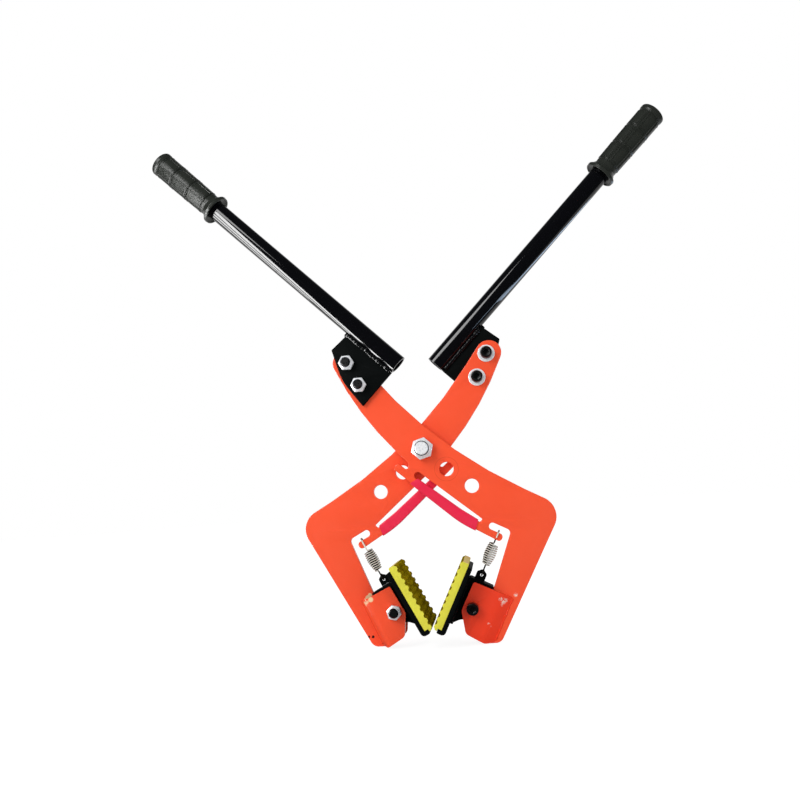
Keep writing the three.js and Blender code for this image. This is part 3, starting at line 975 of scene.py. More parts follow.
@dataclass(frozen=True)
class PadRubber(Rubber):
    """The pads' rubber, whose ribbed face is a darker, patchy olive and finely crossed, and whose top end is
    dusty.
    """

    soil: Colour = linear(98, 82, 2)
    light_soil: Colour = linear(182, 164, 22)
    dust: Colour = linear(220, 204, 136)
    face: float = 35.4 * MM
    top: float = 54.1 * MM
    top_blur: float = 0.4 * MM
    half_width: float = 49.2 * MM
    blur: float = 0.6 * MM
    cross_count: float = 2200.0
    cross_share: float = 0.12
    cross_height: float = 0.15 * MM
    patches: ClassVar[Cloud] = Cloud(60.0, 4.0, 0.7, 0.35, 0.7)

    def places(self, box: Paintbox) -> tuple[NodeSocket, NodeSocket, NodeSocket]:
        """Each place's distance ahead of the jaw bolt, up along the pad and along the bolt.

        Args:
            box: The material's nodes.

        Returns:
            The three distances' sockets.
        """
        across, level, height = box.split(box.place)
        sides = box.math("SUBTRACT", box.math("ABSOLUTE", across), JAW_BOLT.x)
        rises = box.math("SUBTRACT", height, JAW_BOLT.y)
        ahead, up = (
            box.math("ADD", box.math("MULTIPLY", sides, way.x), box.math("MULTIPLY", rises, way.y))
            for way in jaw_ways()
        )
        return ahead, up, level

    def paint(self, box: Paintbox) -> None:
        """Adds the rubber, the darker olive face and the dusty end.

        Args:
            box: The material's nodes.
        """
        super().paint(box)
        ahead, up, level = self.places(box)
        past_side = box.rise(box.math("ABSOLUTE", level), self.half_width, self.blur)
        between_sides = box.math("SUBTRACT", 1.0, past_side)
        on_face = box.math("MULTIPLY", box.rise(ahead, self.face, self.blur), between_sides)
        crossed = box.math("MULTIPLY", *(
            box.math("SINE", box.math("MULTIPLY", box.math(way, up, level), self.cross_count))
            for way in ("ADD", "SUBTRACT")
        ))
        pattern = box.math("MULTIPLY", crossed, self.cross_share)
        uneven = box.math("ADD", self.patches.noise(box), pattern)
        lighter = box.scaled(uneven, self.patches.low, self.patches.high, 0.0, 1.0)
        face_olive = box.mix(lighter, self.soil, self.light_soil)
        plain = box.shader.inputs["Base Color"].links[0].from_socket
        dusty = box.mix(box.rise(up, self.top, self.top_blur), plain, self.dust)
        box.set(Base_Color=box.mix(on_face, dusty, face_olive))
        box.bump(box.math("MULTIPLY", crossed, on_face), self.cross_height)


@dataclass(frozen=True)
class Metal(Finish):
    """Plated or drawn metal with small scratches and stains."""

    stain: Colour = (0.5, 0.5, 0.5, 1.0)
    metallic: float = 1.0
    scratch: float = 0.015 * MM
    gloss = Cloud(500.0, 3.0)
    gloss_spread = (-0.06, 0.1)

    def tint(self, box: Paintbox) -> NodeSocket:
        """The metal's colour with its stains."""
        cloud = Cloud(240.0, 4.0, 0.7, 0.42, 0.72)
        return box.mix(cloud.between(box, 0.0, 0.5), self.colour, self.stain)

    def relief(self) -> tuple[tuple[Cloud, float, float], ...]:
        """The metal's scratches."""
        return ((Cloud(1500.0), self.scratch, 1.0),)

    def paint(self, box: Paintbox) -> None:
        """Adds the metal's colour, gloss and scratches."""
        super().paint(box)
        box.set(Metallic=self.metallic)


@dataclass(frozen=True)
class CoiledMetal(Metal):
    """Metal wire in coils, bright outside as a painted highlight, and black with painted shade between the
    turns, inside the coil and on the lower hook.
    """

    # Colour of the painted shade between the turns, inside the coil and on the lower hook.
    grease: Colour = linear(24, 20, 18)
    between_turns: tuple[float, float] = (0.35, 0.65)
    lower_hook: float = -14 * MM
    blur: float = 1 * MM

    def tint(self, box: Paintbox) -> NodeSocket:
        """The wire's colour with painted shade, by whether its surface faces out of the spring, along it or
        into it.

        Args:
            box: The material's nodes.

        Returns:
            The colour's socket.
        """
        foot, head = jaw_point(*SPRING_EYE), Vector(SPRING_SEAT)
        axis = tuple(at_level((head - foot).normalized(), 0.0))
        side = box.math("SIGN", box.split(box.place)[0])
        turn = box.add("ShaderNodeCombineXYZ", X=side, Y=side, Z=1.0).outputs[0]
        place, normal = (box.vector("MULTIPLY", value, turn) for value in (box.place, box.normal))
        spoke = box.vector("SUBTRACT", place, tuple(at_level((head + foot) / 2, LEVELS.middle)))
        along = box.math("ABSOLUTE", box.vector("DOT_PRODUCT", normal, axis))
        between = box.scaled(along, *self.between_turns, 0.0, 1.0)
        inside = box.scaled(box.vector("DOT_PRODUCT", normal, spoke), 0.0, -self.blur, 0.0, 1.0)
        height = box.vector("DOT_PRODUCT", spoke, axis)
        below = box.scaled(height, self.lower_hook + self.blur, self.lower_hook - self.blur, 0.0, 1.0)
        # Painted shade: black between the turns, on faces into the coil and below the lower hook.
        shade_share = box.math("MAXIMUM", box.math("MAXIMUM", between, inside), below)
        return box.mix(shade_share, super().tint(box), self.grease)


# Marks on the paint: (centre, reach) in millimetres, in the model's frame
SCRATCHES = (
    ((94.2, -18.2, -210.5), 3.7), ((90.5, -19.6, -207.1), 2.4), ((98.2, -16.0, -209.4), 2.4),
    ((92.4, -19.0, -215.6), 2.6), ((89.5, -20.2, -219.4), 2.0), ((86.6, -20.6, -223.1), 1.8),
    ((75.9, -20.6, -242.1), 2.2), ((72.3, -20.6, -238), 1.6),
)
# Cream patches on the top end of the rear side's cheeks: partly worn paint, partly a painted highlight where
# the end catches the light.
WORN_AND_LIT_END = (
    ((-93.4, 0.3, -202), 3.4), ((-90.6, 0.3, -198.6), 3.8), ((-87.6, 0.3, -195), 3.2),
    ((-90, -13, -203.5), 4.6), ((-87, -15.5, -201), 4.6), ((-83.5, -18, -198.5), 4.2),
)
# Two near-black spots low on the rear leg.
LEG_DARK_SPOTS = (((-86.8, 2.3, -251.5), 1.9), ((-92.4, 2.3, -251.2), 1.5))

ARM_ORANGE = PowderCoat(
    "arm_orange", "orange_paint", linear(255, 90, 54), 0.22, deep=linear(251, 80, 44),
    marks=(
        Mark(Wear.RING, (30.8, -10.3, -29.9), 16.6),
        *(Mark(Wear.WORN, centre, reach) for centre, reach in WORN_AND_LIT_END),
        *(Mark(Wear.HOLE, centre, reach) for centre, reach in LEG_DARK_SPOTS),
        Mark(Wear.CHIP, (110.5, -10.3, -203.5), 2.2),
    ),
)
# A darker copy of the arm's orange, as painted shade on the front side's cheeks; it also carries their
# scratches.
SHADED_CHEEK_ORANGE = PowderCoat(
    "cheek_orange", "orange_paint", linear(252, 68, 38), 0.22, deep=linear(242, 58, 31),
    marks=tuple(Mark(Wear.CHIP, centre, reach) for centre, reach in SCRATCHES),
)
GLOSS_BLACK = GlossPaint("gloss_black_coat", "black_gloss", linear(6, 6, 9), 0.06, wave=0.008 * MM)
WELD_BLACK = GlossPaint("weld_black_coat", "black_gloss", linear(9, 10, 12), 0.2, wave=0.2 * MM, specular=0.3)
SATIN_BLACK = GlossPaint("satin_black_coat", "black_gloss", linear(9, 12, 12), 0.6, specular=0.02)
GRIP = Rubber(
    "grip_skin", "grip_rubber", linear(39, 42, 38), 0.28, bloom=linear(51, 54, 49), grain=0.0, specular=0.2,
)
CRIMSON = Rubber(
    "crimson_skin", "red_rubber", linear(236, 28, 68), 0.34, bloom=linear(248, 42, 84), bloom_share=0.6,
    grain=0.01 * MM,
)
YELLOW = PadRubber(
    "pad_skin", "yellow_rubber", linear(228, 225, 80), 0.5, bloom=linear(204, 198, 66), bloom_share=0.7,
    specular=0.0,
)
ZINC = Metal("zinc_plate", "zinc", linear(246, 248, 251), 0.28, stain=linear(218, 224, 232), metallic=0.12)
OXIDE = Metal("oxide_skin", "black_oxide", linear(12, 12, 14), 0.3, stain=linear(24, 23, 23), metallic=0.3)
# The near-white colour with no metal is a painted highlight on the wire's outside; CoiledMetal adds the
# painted shade.
SPRING = CoiledMetal(
    "spring_wire", "spring_steel", linear(236, 231, 219), 0.4, stain=linear(190, 182, 168), metallic=0.0,
    specular=0.1,
)
NYLON = Rubber("nut_ring", "black_oxide", linear(14, 20, 44), 0.4, bloom=linear(22, 30, 60))


# Placing pieces on their bodies


def settle(
    made: Object,
    name: str,
    finish: Finish,
    body: str,
    side: Side = Side.FRONT,
    replaces: Sequence[str] = (),
) -> None:
    """Gives a finished mesh its name, finish, side and body.

    Args:
        made: The object, drawn in the front side's place.
        name: The piece's name.
        finish: Its surface.
        body: The body that it rides on.
        side: The side that it belongs to.
        replaces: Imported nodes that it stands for.
    """
    made.name = name
    made.data.name = name
    made.data.transform(side.turn)
    made.data.materials.clear()
    made.data.materials.append(finish.material)
    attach(made, body)
    if replaces:
        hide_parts(*replaces)
    log.info("%s: %d faces on %s", name, len(made.data.polygons), body)


def join(name: str, parts: Sequence[Object]) -> Object:
    """Joins meshes.

    Args:
        name: The joined object's name.
        parts: The objects, which are used up.

    Returns:
        The joined object.
    """
    draft = Draft()
    for part in parts:
        first = len(draft.points)
        draft.points += [v.co.copy() for v in part.data.vertices]
        for polygon in part.data.polygons:
            face = tuple(first + i for i in polygon.vertices)
            if polygon.use_smooth:
                draft.faces.append(face)
            else:
                draft.cap(face)
        bpy.data.objects.remove(part)
    return draft.build(name)


def bevelled(source: Object, name: str, width: float, angle: float = math.radians(34)) -> Object:
    """Rounds the sharp edges of a mesh.

    Args:
        source: The object, which is used up.
        name: The new object's name.
        width: Width of the rounding.
        angle: Edges sharper than this are rounded.

    Returns:
        The rounded object.
    """
    modifier = source.modifiers.new("edges", "BEVEL")
    modifier.width = width
    modifier.segments = 2
    modifier.limit_method = "ANGLE"
    modifier.angle_limit = angle
    made = baked(source, name)
    made.data.shade_smooth()
    made.data.set_sharp_from_angle(angle=SHARP_ANGLE)
    return made


def cut_by(source: Object, other: Object, name: str, keep_common: bool) -> Object:
    """Cuts one mesh by another.

    Args:
        source: The mesh that is cut, which is used up.
        other: The cutting mesh, which is used up.
        name: The new object's name.
        keep_common: True to keep what both hold, False to take the other away.

    Returns:
        The cut mesh.
    """
    modifier = source.modifiers.new("cut", "BOOLEAN")
    modifier.operation = "INTERSECT" if keep_common else "DIFFERENCE"
    modifier.solver = "EXACT"
    modifier.object = other
    made = baked(source, name)
    bpy.data.objects.remove(other)
    return made


@dataclass(frozen=True)
class RoundSweep:
    """Sweeps a round section along a path: a plain wire, or a weld bead with ripples and lumps."""

    tree: Tree
    spacing: float
    ripple_share: float = 0.0
    ripple_pitch: float = 1.0
    lump: float = 0.0
    lump_scale: float = 1.0
    sides: int = 12

    def run(self, name: str, points: Sequence[Vector], radius: float, finish: Finish) -> Object:
        """Sweeps one piece.

        Args:
            name: The piece's name.
            points: The path.
            radius: The section's radius.
            finish: The piece's surface.

        Returns:
            The piece.
        """
        path = bpy.data.meshes.new(name)
        path.from_pydata(list(points), [(i, i + 1) for i in range(len(points) - 1)], [])
        return self.tree.run(
            linked(name, path),
            name,
            Radius=radius,
            Sides=self.sides,
            Spacing=self.spacing,
            Ripple_share=self.ripple_share,
            Ripple_pitch=self.ripple_pitch,
            Lump_height=self.lump,
            Lump_scale=self.lump_scale,
            Material=finish.material,
        )


# Sub-assemblies


@dataclass(frozen=True)
class Assembly:
    """One side's sub-assembly, whose pieces ride on one body."""

    side: Side

    @property
    def body(self) -> str:
        """Name of the body that the pieces ride on."""
        return self.side.lever

    def put(self, made: Object, name: str, finish: Finish, node: str | None = None) -> None:
        """Puts a piece in place.

        Args:
            made: The object, drawn in the front side's place.
            name: The piece's name without its side.
            finish: Its surface.
            node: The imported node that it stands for, without its side.
        """
        replaces = [self.side.node(node)] if node else []
        settle(made, self.side.node(name), finish, self.body, self.side, replaces)


@dataclass(frozen=True)
class LeverArm(Assembly):
    """The laser-cut arm with its hook, stub finger, slot and holes. Its corners are in millimetres."""

    edge: float = 0.7 * MM
    pivot_hole: float = 9.3 * MM
    spare_hole: float = 9.7 * MM
    spare_holes: Corners = ((30.8, -29.9), (63.5, -55))
    outline: Corners = (
        (-91.4, 145.2, 18), (14, 2, 620), (182.7, -90.7, 27), (86.6, -265, 12), (67, -265, 8),
        (57.6, -256.9, 4), (111.3, -118.4, 6), (85.1, -104.7, 4.6), (80.7, -113.3, 4.6),
        (101, -123.8, 4.4), (96.2, -132.9, 4.4), (45, -102.6, 150), (-42.5, -24.6, 4),
        (-36, -16.8, 4), (-21.5, -29.6, 3.5), (-20.5, -18.5, 8), (-86.6, 53.6, 440), (-127.3, 145.2, 17),
    )
    slot: Corners = (
        (-9.5, -29.6, 4.6), (74.5, -100.8, 1.5), (70.5, -104.4, 1.5), (45, -86.6, 150), (-16.3, -36.6, 4.6),
    )

    def build(self) -> None:
        """Builds the arm's plate."""
        holes = [Outline(corners_mm(*self.slot)), RoundHole(Vector((0, 0)), self.pivot_hole)]
        holes += [RoundHole(Vector(centre) * MM, self.spare_hole) for centre in self.spare_holes]
        holes += [RoundHole(centre, SCREW_HOLE) for centre in STRAP_HOLES]
        made = plate("arm", Outline(corners_mm(*self.outline)), holes, LEVELS.near, LEVELS.far, self.edge)
        self.put(made, "arm_plate", ARM_ORANGE, "arm")


@dataclass(frozen=True)
class Bend:
    """How one cheek is bent: its foot's ends in millimetres, the rise of its flank and the bend's radius."""

    node: str
    ends: Corners
    foot: float
    width: float
    radius: float


@dataclass(frozen=True)
class Cheeks(Assembly):
    """The two bent plates that hold the jaw bolt, welded to the faces of the arm's leg."""

    welder: RoundSweep
    thickness: float = 6 * MM
    inner: float = 14.6 * MM
    edge: float = 0.6 * MM
    reach: float = 120 * MM
    bead: float = 1.3 * MM
    bead_ends: tuple[float, float] = (0.03, 0.95)
    front: tuple[float, ...] = (56.6, -182.4, 3)
    lower: Corners = ((65, -264.2, 10), (40.7, -249.6, 8), (37.4, -218.6, 12))
    outer_bend: Bend = Bend(
        "outer_cheek", ((106.8, -206.8, 2), (77.7, -263.9, 6)), LEVELS.touch - LEVELS.near, 17 * MM, 18 * MM
    )
    inner_bend: Bend = Bend(
        "inner_cheek", ((100.6, -203, 2), (74, -263, 6)), LEVELS.touch + LEVELS.far, 9.7 * MM, 4 * MM
    )

    @property
    def outer(self) -> float:
        """Distance of the cheek's outer face from the middle plane."""
        return self.inner + self.thickness

    def section(self, bend: Bend) -> list[Vector]:
        """The bent sheet's section: (inward, away from the middle plane), with rounded bends.

        Args:
            bend: How the sheet is bent.

        Returns:
            The section's points.
        """
        slope = math.atan2(self.outer - bend.foot, bend.width)
        inner_foot = self.thickness / math.sin(slope)
        inner_bend = inner_foot + (self.inner - bend.foot) / math.tan(slope)
        return rounded((
            (0, bend.foot, 0), (bend.width, self.outer, bend.radius + self.thickness),
            (self.reach, self.outer, 0), (self.reach, self.inner, 0),
            (inner_bend, self.inner, bend.radius), (inner_foot, bend.foot, 0),
        ))

    def cheek(self, bend: Bend) -> Object:
        """One cheek, on the side away from the viewer.

        Args:
            bend: How it is bent.

        Returns:
            The cheek.
        """
        top, bottom = (Vector(corner[:2]) * MM for corner in bend.ends)
        along = (top - bottom).normalized()
        inward = Vector((-along.y, along.x))
        draft = Draft()
        section = self.section(bend)
        rings = []
        for end in (-self.reach, self.reach):
            base = bottom + along * end
            rings.append(draft.ring([at_level(base + inward * p.x, p.y) for p in section]))
        draft.strip(rings[0], rings[1])
        draft.faces += [tuple(reversed(rings[0])), tuple(rings[1])]
        outline = Outline(corners_mm(self.front, *bend.ends, *self.lower))
        hole = RoundHole(JAW_BOLT, SCREW_HOLE)
        blank = plate("blank", outline, [hole], -2 * self.outer, 2 * self.outer, SHARP_EDGE)
        return bevelled(cut_by(draft.build("sheet"), blank, bend.node, True), bend.node, self.edge)

    def build(self) -> None:
        """Builds both cheeks and the welds along their feet."""
        # The front side's cheeks take the darker copy of the orange: painted shade.
        finish = SHADED_CHEEK_ORANGE if self.side is Side.FRONT else ARM_ORANGE
        outer, inner = self.cheek(self.outer_bend), self.cheek(self.inner_bend)
        outer.data.transform(Matrix.Scale(-1, 4, (0, 1, 0)))
        outer.data.flip_normals()
        for made, bend in ((outer, self.outer_bend), (inner, self.inner_bend)):
            self.put(made, f"{bend.node}_plate", finish, bend.node)
        for bend, level in ((self.outer_bend, LEVELS.near), (self.inner_bend, LEVELS.far)):
            top, bottom = (Vector((corner[0], 0, corner[1])) * MM for corner in bend.ends)
            points = [top + (bottom - top) * share + Vector((0, level, 0)) for share in self.bead_ends]
            self.put(self.welder.run("bead", points, self.bead, finish), f"{bend.node}_weld", finish)


@dataclass(frozen=True)
class Handle(Assembly):
    """Tube handle with its bracket plate, welds and rubber grip. Its own sizes are in millimetres."""

    welder: RoundSweep
    repeat: Tree
    angle: float = math.radians(135)
    tube: float = 13.45
    wall: float = 2.9
    length: float = 465.0
    fit: float = 0.3
    grip_start: float = 353.0
    grip_wall: float = 4.0
    flange: float = 22.3
    grooves: tuple[float, ...] = (371.0, 401.5, 432.0, 459.5)
    groove_depth: float = 0.9
    swell: tuple[float, float, float, float] = (364.0, 456.0, 2.85, 1.15)
    tile_columns: int = 6
    tile_share: float = 0.86
    tile_gap: float = 1.6
    tile_steps: tuple[tuple[float, float], ...] = (
        (-0.4, 0.0), (0.6, 0.1), (0.8, 0.5), (0.8, 1.0), (0.1, 1.3), (0.1, 2.1), (0.5, 2.4)
    )
    panel_turn: float = math.radians(-65)
    bead_rise: float = 0.9
    bead_stand: float = 0.2
    beads: tuple[tuple[str, float, float, float, float], ...] = (
        ("outer", -1, 3.0, 80.0, 3.3), ("inner", 1, 4.0, 78.0, 3.3), ("end", -0.4, 78.0, 85.5, 4.0)
    )

    @property
    def place(self) -> Matrix:
        """Moves local Z to the tube's axis. Local -X points to the bracket."""
        at = Matrix.Translation(at_level(HANDLE_FOOT, LEVELS.bracket_middle))
        return at @ Matrix.Rotation(QUARTER_TURN - self.angle, 4, "Y")

    def point(self, along: float, across: float, level: float = 0.0) -> Vector:
        """A point of the handle in the model's frame.

        Args:
            along: Distance along the tube from its lower end, in millimetres.
            across: Distance from the tube's axis towards the bracket.
            level: Distance behind the bracket's middle plane, as the two others in millimetres.

        Returns:
            The point.
        """
        return self.place @ Vector((-across * MM, level * MM, along * MM))

    def build(self) -> None:
        """Builds all of the handle."""
        self.build_tube()
        self.build_bracket()
        self.build_welds()
        self.build_grip()

    def build_tube(self) -> None:
        """Builds the tube with its open lower end."""
        inner = self.tube - self.wall
        profile = profile_mm(
            (inner, 0, 0.6), (self.tube, 0, 0.7), (self.tube, self.length, 0.7), (inner, self.length, 0.7)
        )
        self.put(turned("tube", profile, self.place, 72), "handle_tube_steel", GLOSS_BLACK, "handle_tube")

    def build_bracket(self) -> None:
        """Builds the bracket plate."""
        near_tube = self.tube + self.fit
        corners = [(0, near_tube, 0.4), (0, 75.2, 1), (45.5, 68, 90), (86, 45, 1.5), (83.3, near_tube, 0.4)]
        placed = [self.point(u, v) for u, v, _ in corners]
        outline = Outline(tuple((p.x, p.z, c[2] * MM) for p, c in zip(placed, corners)))
        holes = [RoundHole(centre, SCREW_HOLE) for centre in STRAP_HOLES]
        half, middle = LEVELS.bracket / 2, LEVELS.bracket_middle
        made = plate("bracket", outline, holes, middle - half, middle + half)
        self.put(made, "handle_bracket_plate", SATIN_BLACK, "handle_bracket")

    def build_welds(self) -> None:
        """Lays the beads between the tube and both faces of the bracket, and round its end."""
        face = LEVELS.bracket / 2 / MM + self.bead_stand
        for name, sign, start, end, radius in self.beads:
            points = [self.point(along, self.tube + self.bead_rise, sign * face) for along in (start, end)]
            bead = self.welder.run("bead", points, radius * MM, WELD_BLACK)
            self.put(bead, f"handle_{name}_weld", WELD_BLACK)

    def grip_radius(self, along: float) -> float:
        """Radius of the grip's body, which swells from the flange to the end.

        Args:
            along: Distance along the handle, in millimetres.

        Returns:
            The radius there, in millimetres.
        """
        start, end, wall, rise = self.swell
        share = min(max((along - start) / (end - start), 0.0), 1.0)
        return self.tube + wall + rise * math.sin(QUARTER_TURN * share)

    def build_grip(self) -> None:
        """Builds the grip's body with its flange, grooves and rim, and its raised panels."""
        bore, end = self.tube + self.fit, self.length + self.fit + self.grip_wall
        start, flange, depth = self.grip_start, self.flange, self.groove_depth
        corners: list[tuple[float, ...]] = [
            (bore, start + 3.2, 0.5), (flange - 3.6, start + 1.6, 1.5), (flange - 2.4, start - 0.2, 0.7),
            (flange - 0.6, start, 0.9), (flange, start + 4.4, 1.2), (flange - 2.2, start + 5.8, 1.5),
            (self.grip_radius(start), start + 12, 4),
        ]
        for middle in self.grooves:
            body = self.grip_radius(middle)
            corners += [(body, middle - 0.9, 0.4), (body - depth, middle - 0.3, 0.3)]
            corners += [(body - depth, middle + 0.3, 0.3), (body, middle + 0.9, 0.4)]
        rim = self.grip_radius(end)
        corners += [(rim, end - 8, 2), (rim + 0.9, end - 6, 1.5), (rim + 0.9, end, 2.6), (0, end, 0)]
        corners += [(0, end - self.grip_wall, 0), (bore, end - self.grip_wall, 0.5)]
        profile = rounded(corners_mm(*corners))
        first = max(i for i, point in enumerate(profile) if point.x < ON_AXIS)
        made = turned("grip", [*profile[first:], *profile[:first]], self.place, 72)
        self.put(made, "handle_grip_rubber", GRIP, "handle_grip")
        for index, (low, high) in enumerate(zip(self.grooves, self.grooves[1:])):
            self.build_panels(f"grip_panels_{index + 1}", low + self.tile_gap, high - self.tile_gap)

    def build_panels(self, name: str, low: float, high: float) -> None:
        """Builds one section's raised panels, each framed by a fine ridge.

        Args:
            name: The piece's name without its side.
            low: Where the panels start along the tube.
            high: Where they end.
        """
        half_span, middle = (high - low) / 2, (low + high) / 2
        half_angle = math.pi / self.tile_columns * self.tile_share
        panel = Draft()
        rings = []
        steps = [i / 4 - 1 for i in range(9)]
        for lift, inset in self.tile_steps:
            ring = []
            for end, ways in ((-1, steps), (1, reversed(steps))):
                place = end * (half_span - inset)
                radius = self.grip_radius(middle + place) + lift
                for way in ways:
                    angle = way * (half_angle - inset / radius)
                    ring.append(Vector((radius * math.cos(angle), radius * math.sin(angle), place)) * MM)
            rings.append(panel.ring(ring))
        for first, second in zip(rings, rings[1:]):
            panel.strip(first, second)
        top, last = rings[-1], 2 * len(steps) - 1
        for i in range(len(steps) - 1):
            panel.faces.append((top[i], top[i + 1], top[last - 1 - i], top[last - i]))
        source = panel.build(name, Matrix.Translation((0, 0, middle * MM)))
        step = (0.0, 0.0, FULL_TURN / self.tile_columns)
        made = self.repeat.run(source, name, Count=self.tile_columns, Turn=step, Material=GRIP.material)
        made.data.transform(self.place @ Matrix.Rotation(self.panel_turn, 4, "Z"))
        self.put(made, name, GRIP)


@dataclass(frozen=True)
class LockNut:
    """A locking nut on its bolt, in millimetres: the bolt's radius, the width across flats and the height."""

    radius: float
    flats: float
    height: float
    steps: int = 8

    @property
    def seat(self) -> float:
        """Where the insert lies along the nut."""
        return self.height * 0.9

    def profile(self) -> list[Vector]:
        """The nut's closed profile in metres: chamfered hexagon, round collar and insert recess.

        Returns:
            (radius, along) points.
        """
        bore, flats, height = self.radius + 0.2, self.flats, self.height
        face, corner, hexagon, fall = flats * 0.47, flats / math.sqrt(3), height * 0.72, height * 0.16
        collar, insert = flats * 0.42, flats * 0.38
        shares = [i / self.steps for i in range(self.steps + 1)]
        points = [(bore, 0.0), (face, 0.0)]
        points += [(face + (corner - face) * share, height * 0.11 * share) for share in shares]
        points += [
            (corner - (corner - collar - 0.5) * share, hexagon - fall * (1 - share)) for share in shares
        ]
        points += [(collar + 0.1, hexagon + 0.1), (collar, hexagon + 0.5), (collar, height - 0.9)]
        points += [(collar - 0.3, height - 0.3), (collar - 0.9, height), (insert + 0.2, height)]
        points += [(insert, height - 0.2), (insert, self.seat), (bore, self.seat)]
        return [Vector(p) * MM for p in points]

    def body(self, place: Matrix) -> Object:
        """The steel nut, with its axis on the place's local Z."""
        return turned("nut", self.profile(), place, 96, self.flats * MM)

    def insert(self, place: Matrix) -> Object:
        """The plastic ring in the nut's collar.

        Args:
            place: Place of the nut.

        Returns:
            The ring.
        """
        low, high, inner, outer = self.seat, self.seat + 0.7, self.radius + 0.05, self.flats * 0.375
        points = [(inner, low), (outer, low), (outer, high - 0.2)]
        points += [(outer - 0.3, high), (self.radius + 0.4, high), (inner, high - 0.3)]
        return turned("insert", [Vector(p) * MM for p in points], place, 56)


HANDLE_NUT = LockNut(6.0, 19.0, 11.0)
JAW_NUT = LockNut(6.0, 18.0, 11.0)
PIVOT_NUT = LockNut(9.0, 27.0, 18.0)


def hexagon_head(flats: float, height: float, place: Matrix, steps: int = 8) -> Object:
    """A hexagon head with a turned chamfer.

    Args:
        flats: Width across the flats, in millimetres.
        height: Its height.
        place: Moves local Z, which it points along, to its place.
        steps: How many faces its chamfers have.

    Returns:
        The head.
    """
    corner = flats / math.sqrt(3)
    points = [(0.0, 0.0), (flats * 0.49, 0.0), (corner, 0.4)]
    for share in (i / steps for i in range(steps + 1)):
        points.append((corner - (corner - flats * 0.46) * share, height * (0.84 + 0.16 * share)))
    points += [(flats * 0.44, height), (0.0, height)]
    return turned("head", [Vector(p) * MM for p in points], place, 96, flats * MM)


def shank(radius: float, length: float, thread: float, place: Matrix, sides: int) -> Object:
    """A bolt's shank below its head, with thread ridges on its last stretch.

    Args:
        radius: Its radius in millimetres.
        length: Its length.
        thread: Length of the threaded stretch.
        place: Moves local Z, which the head points along, to its place.
        sides: How many steps go round.

    Returns:
        The shank.
    """
    depth, pitch, start, end = radius * 0.08, radius * 0.22, -length, 0.5
    points = [(0.0, start), (radius - 0.9, start), (radius - 0.1, start + 0.8)]
    for i in range(int(thread / pitch)):
        base = start + 0.9 + i * pitch
        points += [(radius, base + pitch * 0.4), (radius - depth, base + pitch * 0.9)]
    points += [(radius, start + thread + 1.5), (radius, end), (0.0, end)]
    return turned("shank", [Vector(p) * MM for p in points], place, sides)


def socket_head(place: Matrix, steps: int = 60) -> Object:
    """A cap screw's head with its hexagon recess.

    Args:
        place: Moves local Z, which the head points along, to its place.
        steps: How many steps go round.

    Returns:
        The head.
    """
    head, height, socket, depth = 8.0, 12.0, 8 / math.sqrt(3), 6.0
    levels = [
        (head - 0.3, 0.0, False), (head, 0.3, False), (head, height - 1.1, False),
        (head - 0.35, height - 0.35, False), (head - 1.2, height, False), (socket + 0.7, height, False),
        (socket, height - 0.6, True), (socket, height - depth, True),
    ]
    draft = Draft()
    rings = [draft.ring([Vector((0, 0, 0))])]
    for radius, level, hexed in levels:
        ring = []
        for angle in (FULL_TURN * i / steps for i in range(steps)):
            reach = radius / math.cos(off_flat(angle)) * math.cos(SIXTH_TURN / 2) if hexed else radius
            ring.append(Vector((reach * math.cos(angle), reach * math.sin(angle), level)) * MM)
        rings.append(draft.ring(ring))
    rings.append(draft.ring([Vector((0, 0, height - depth - 1.2)) * MM]))
    for low, high in zip(rings, rings[1:]):
        draft.strip(low, high)
    return draft.build("head", place)


def cap_screw(place: Matrix, length: float) -> Object:
    """A socket head cap screw of 12 mm, whose shank has the given length in millimetres."""
    return join("screw", [socket_head(place), shank(6.0, length, 14.0, place, 40)])


def washer(outer: float, bore: float, thickness: float, place: Matrix) -> Object:
    """A washer with pressed, rounded edges, by its radii and thickness in millimetres."""
    corners = [(bore, 0, 0.3), (outer, 0, 0.4), (outer, thickness, 0.9), (bore, thickness, 0.5)]
    return turned("washer", profile_mm(*corners), place)


def turned_by(degrees: float) -> Matrix:
    """A turn about local Z."""
    return Matrix.Rotation(math.radians(degrees), 4, "Z")


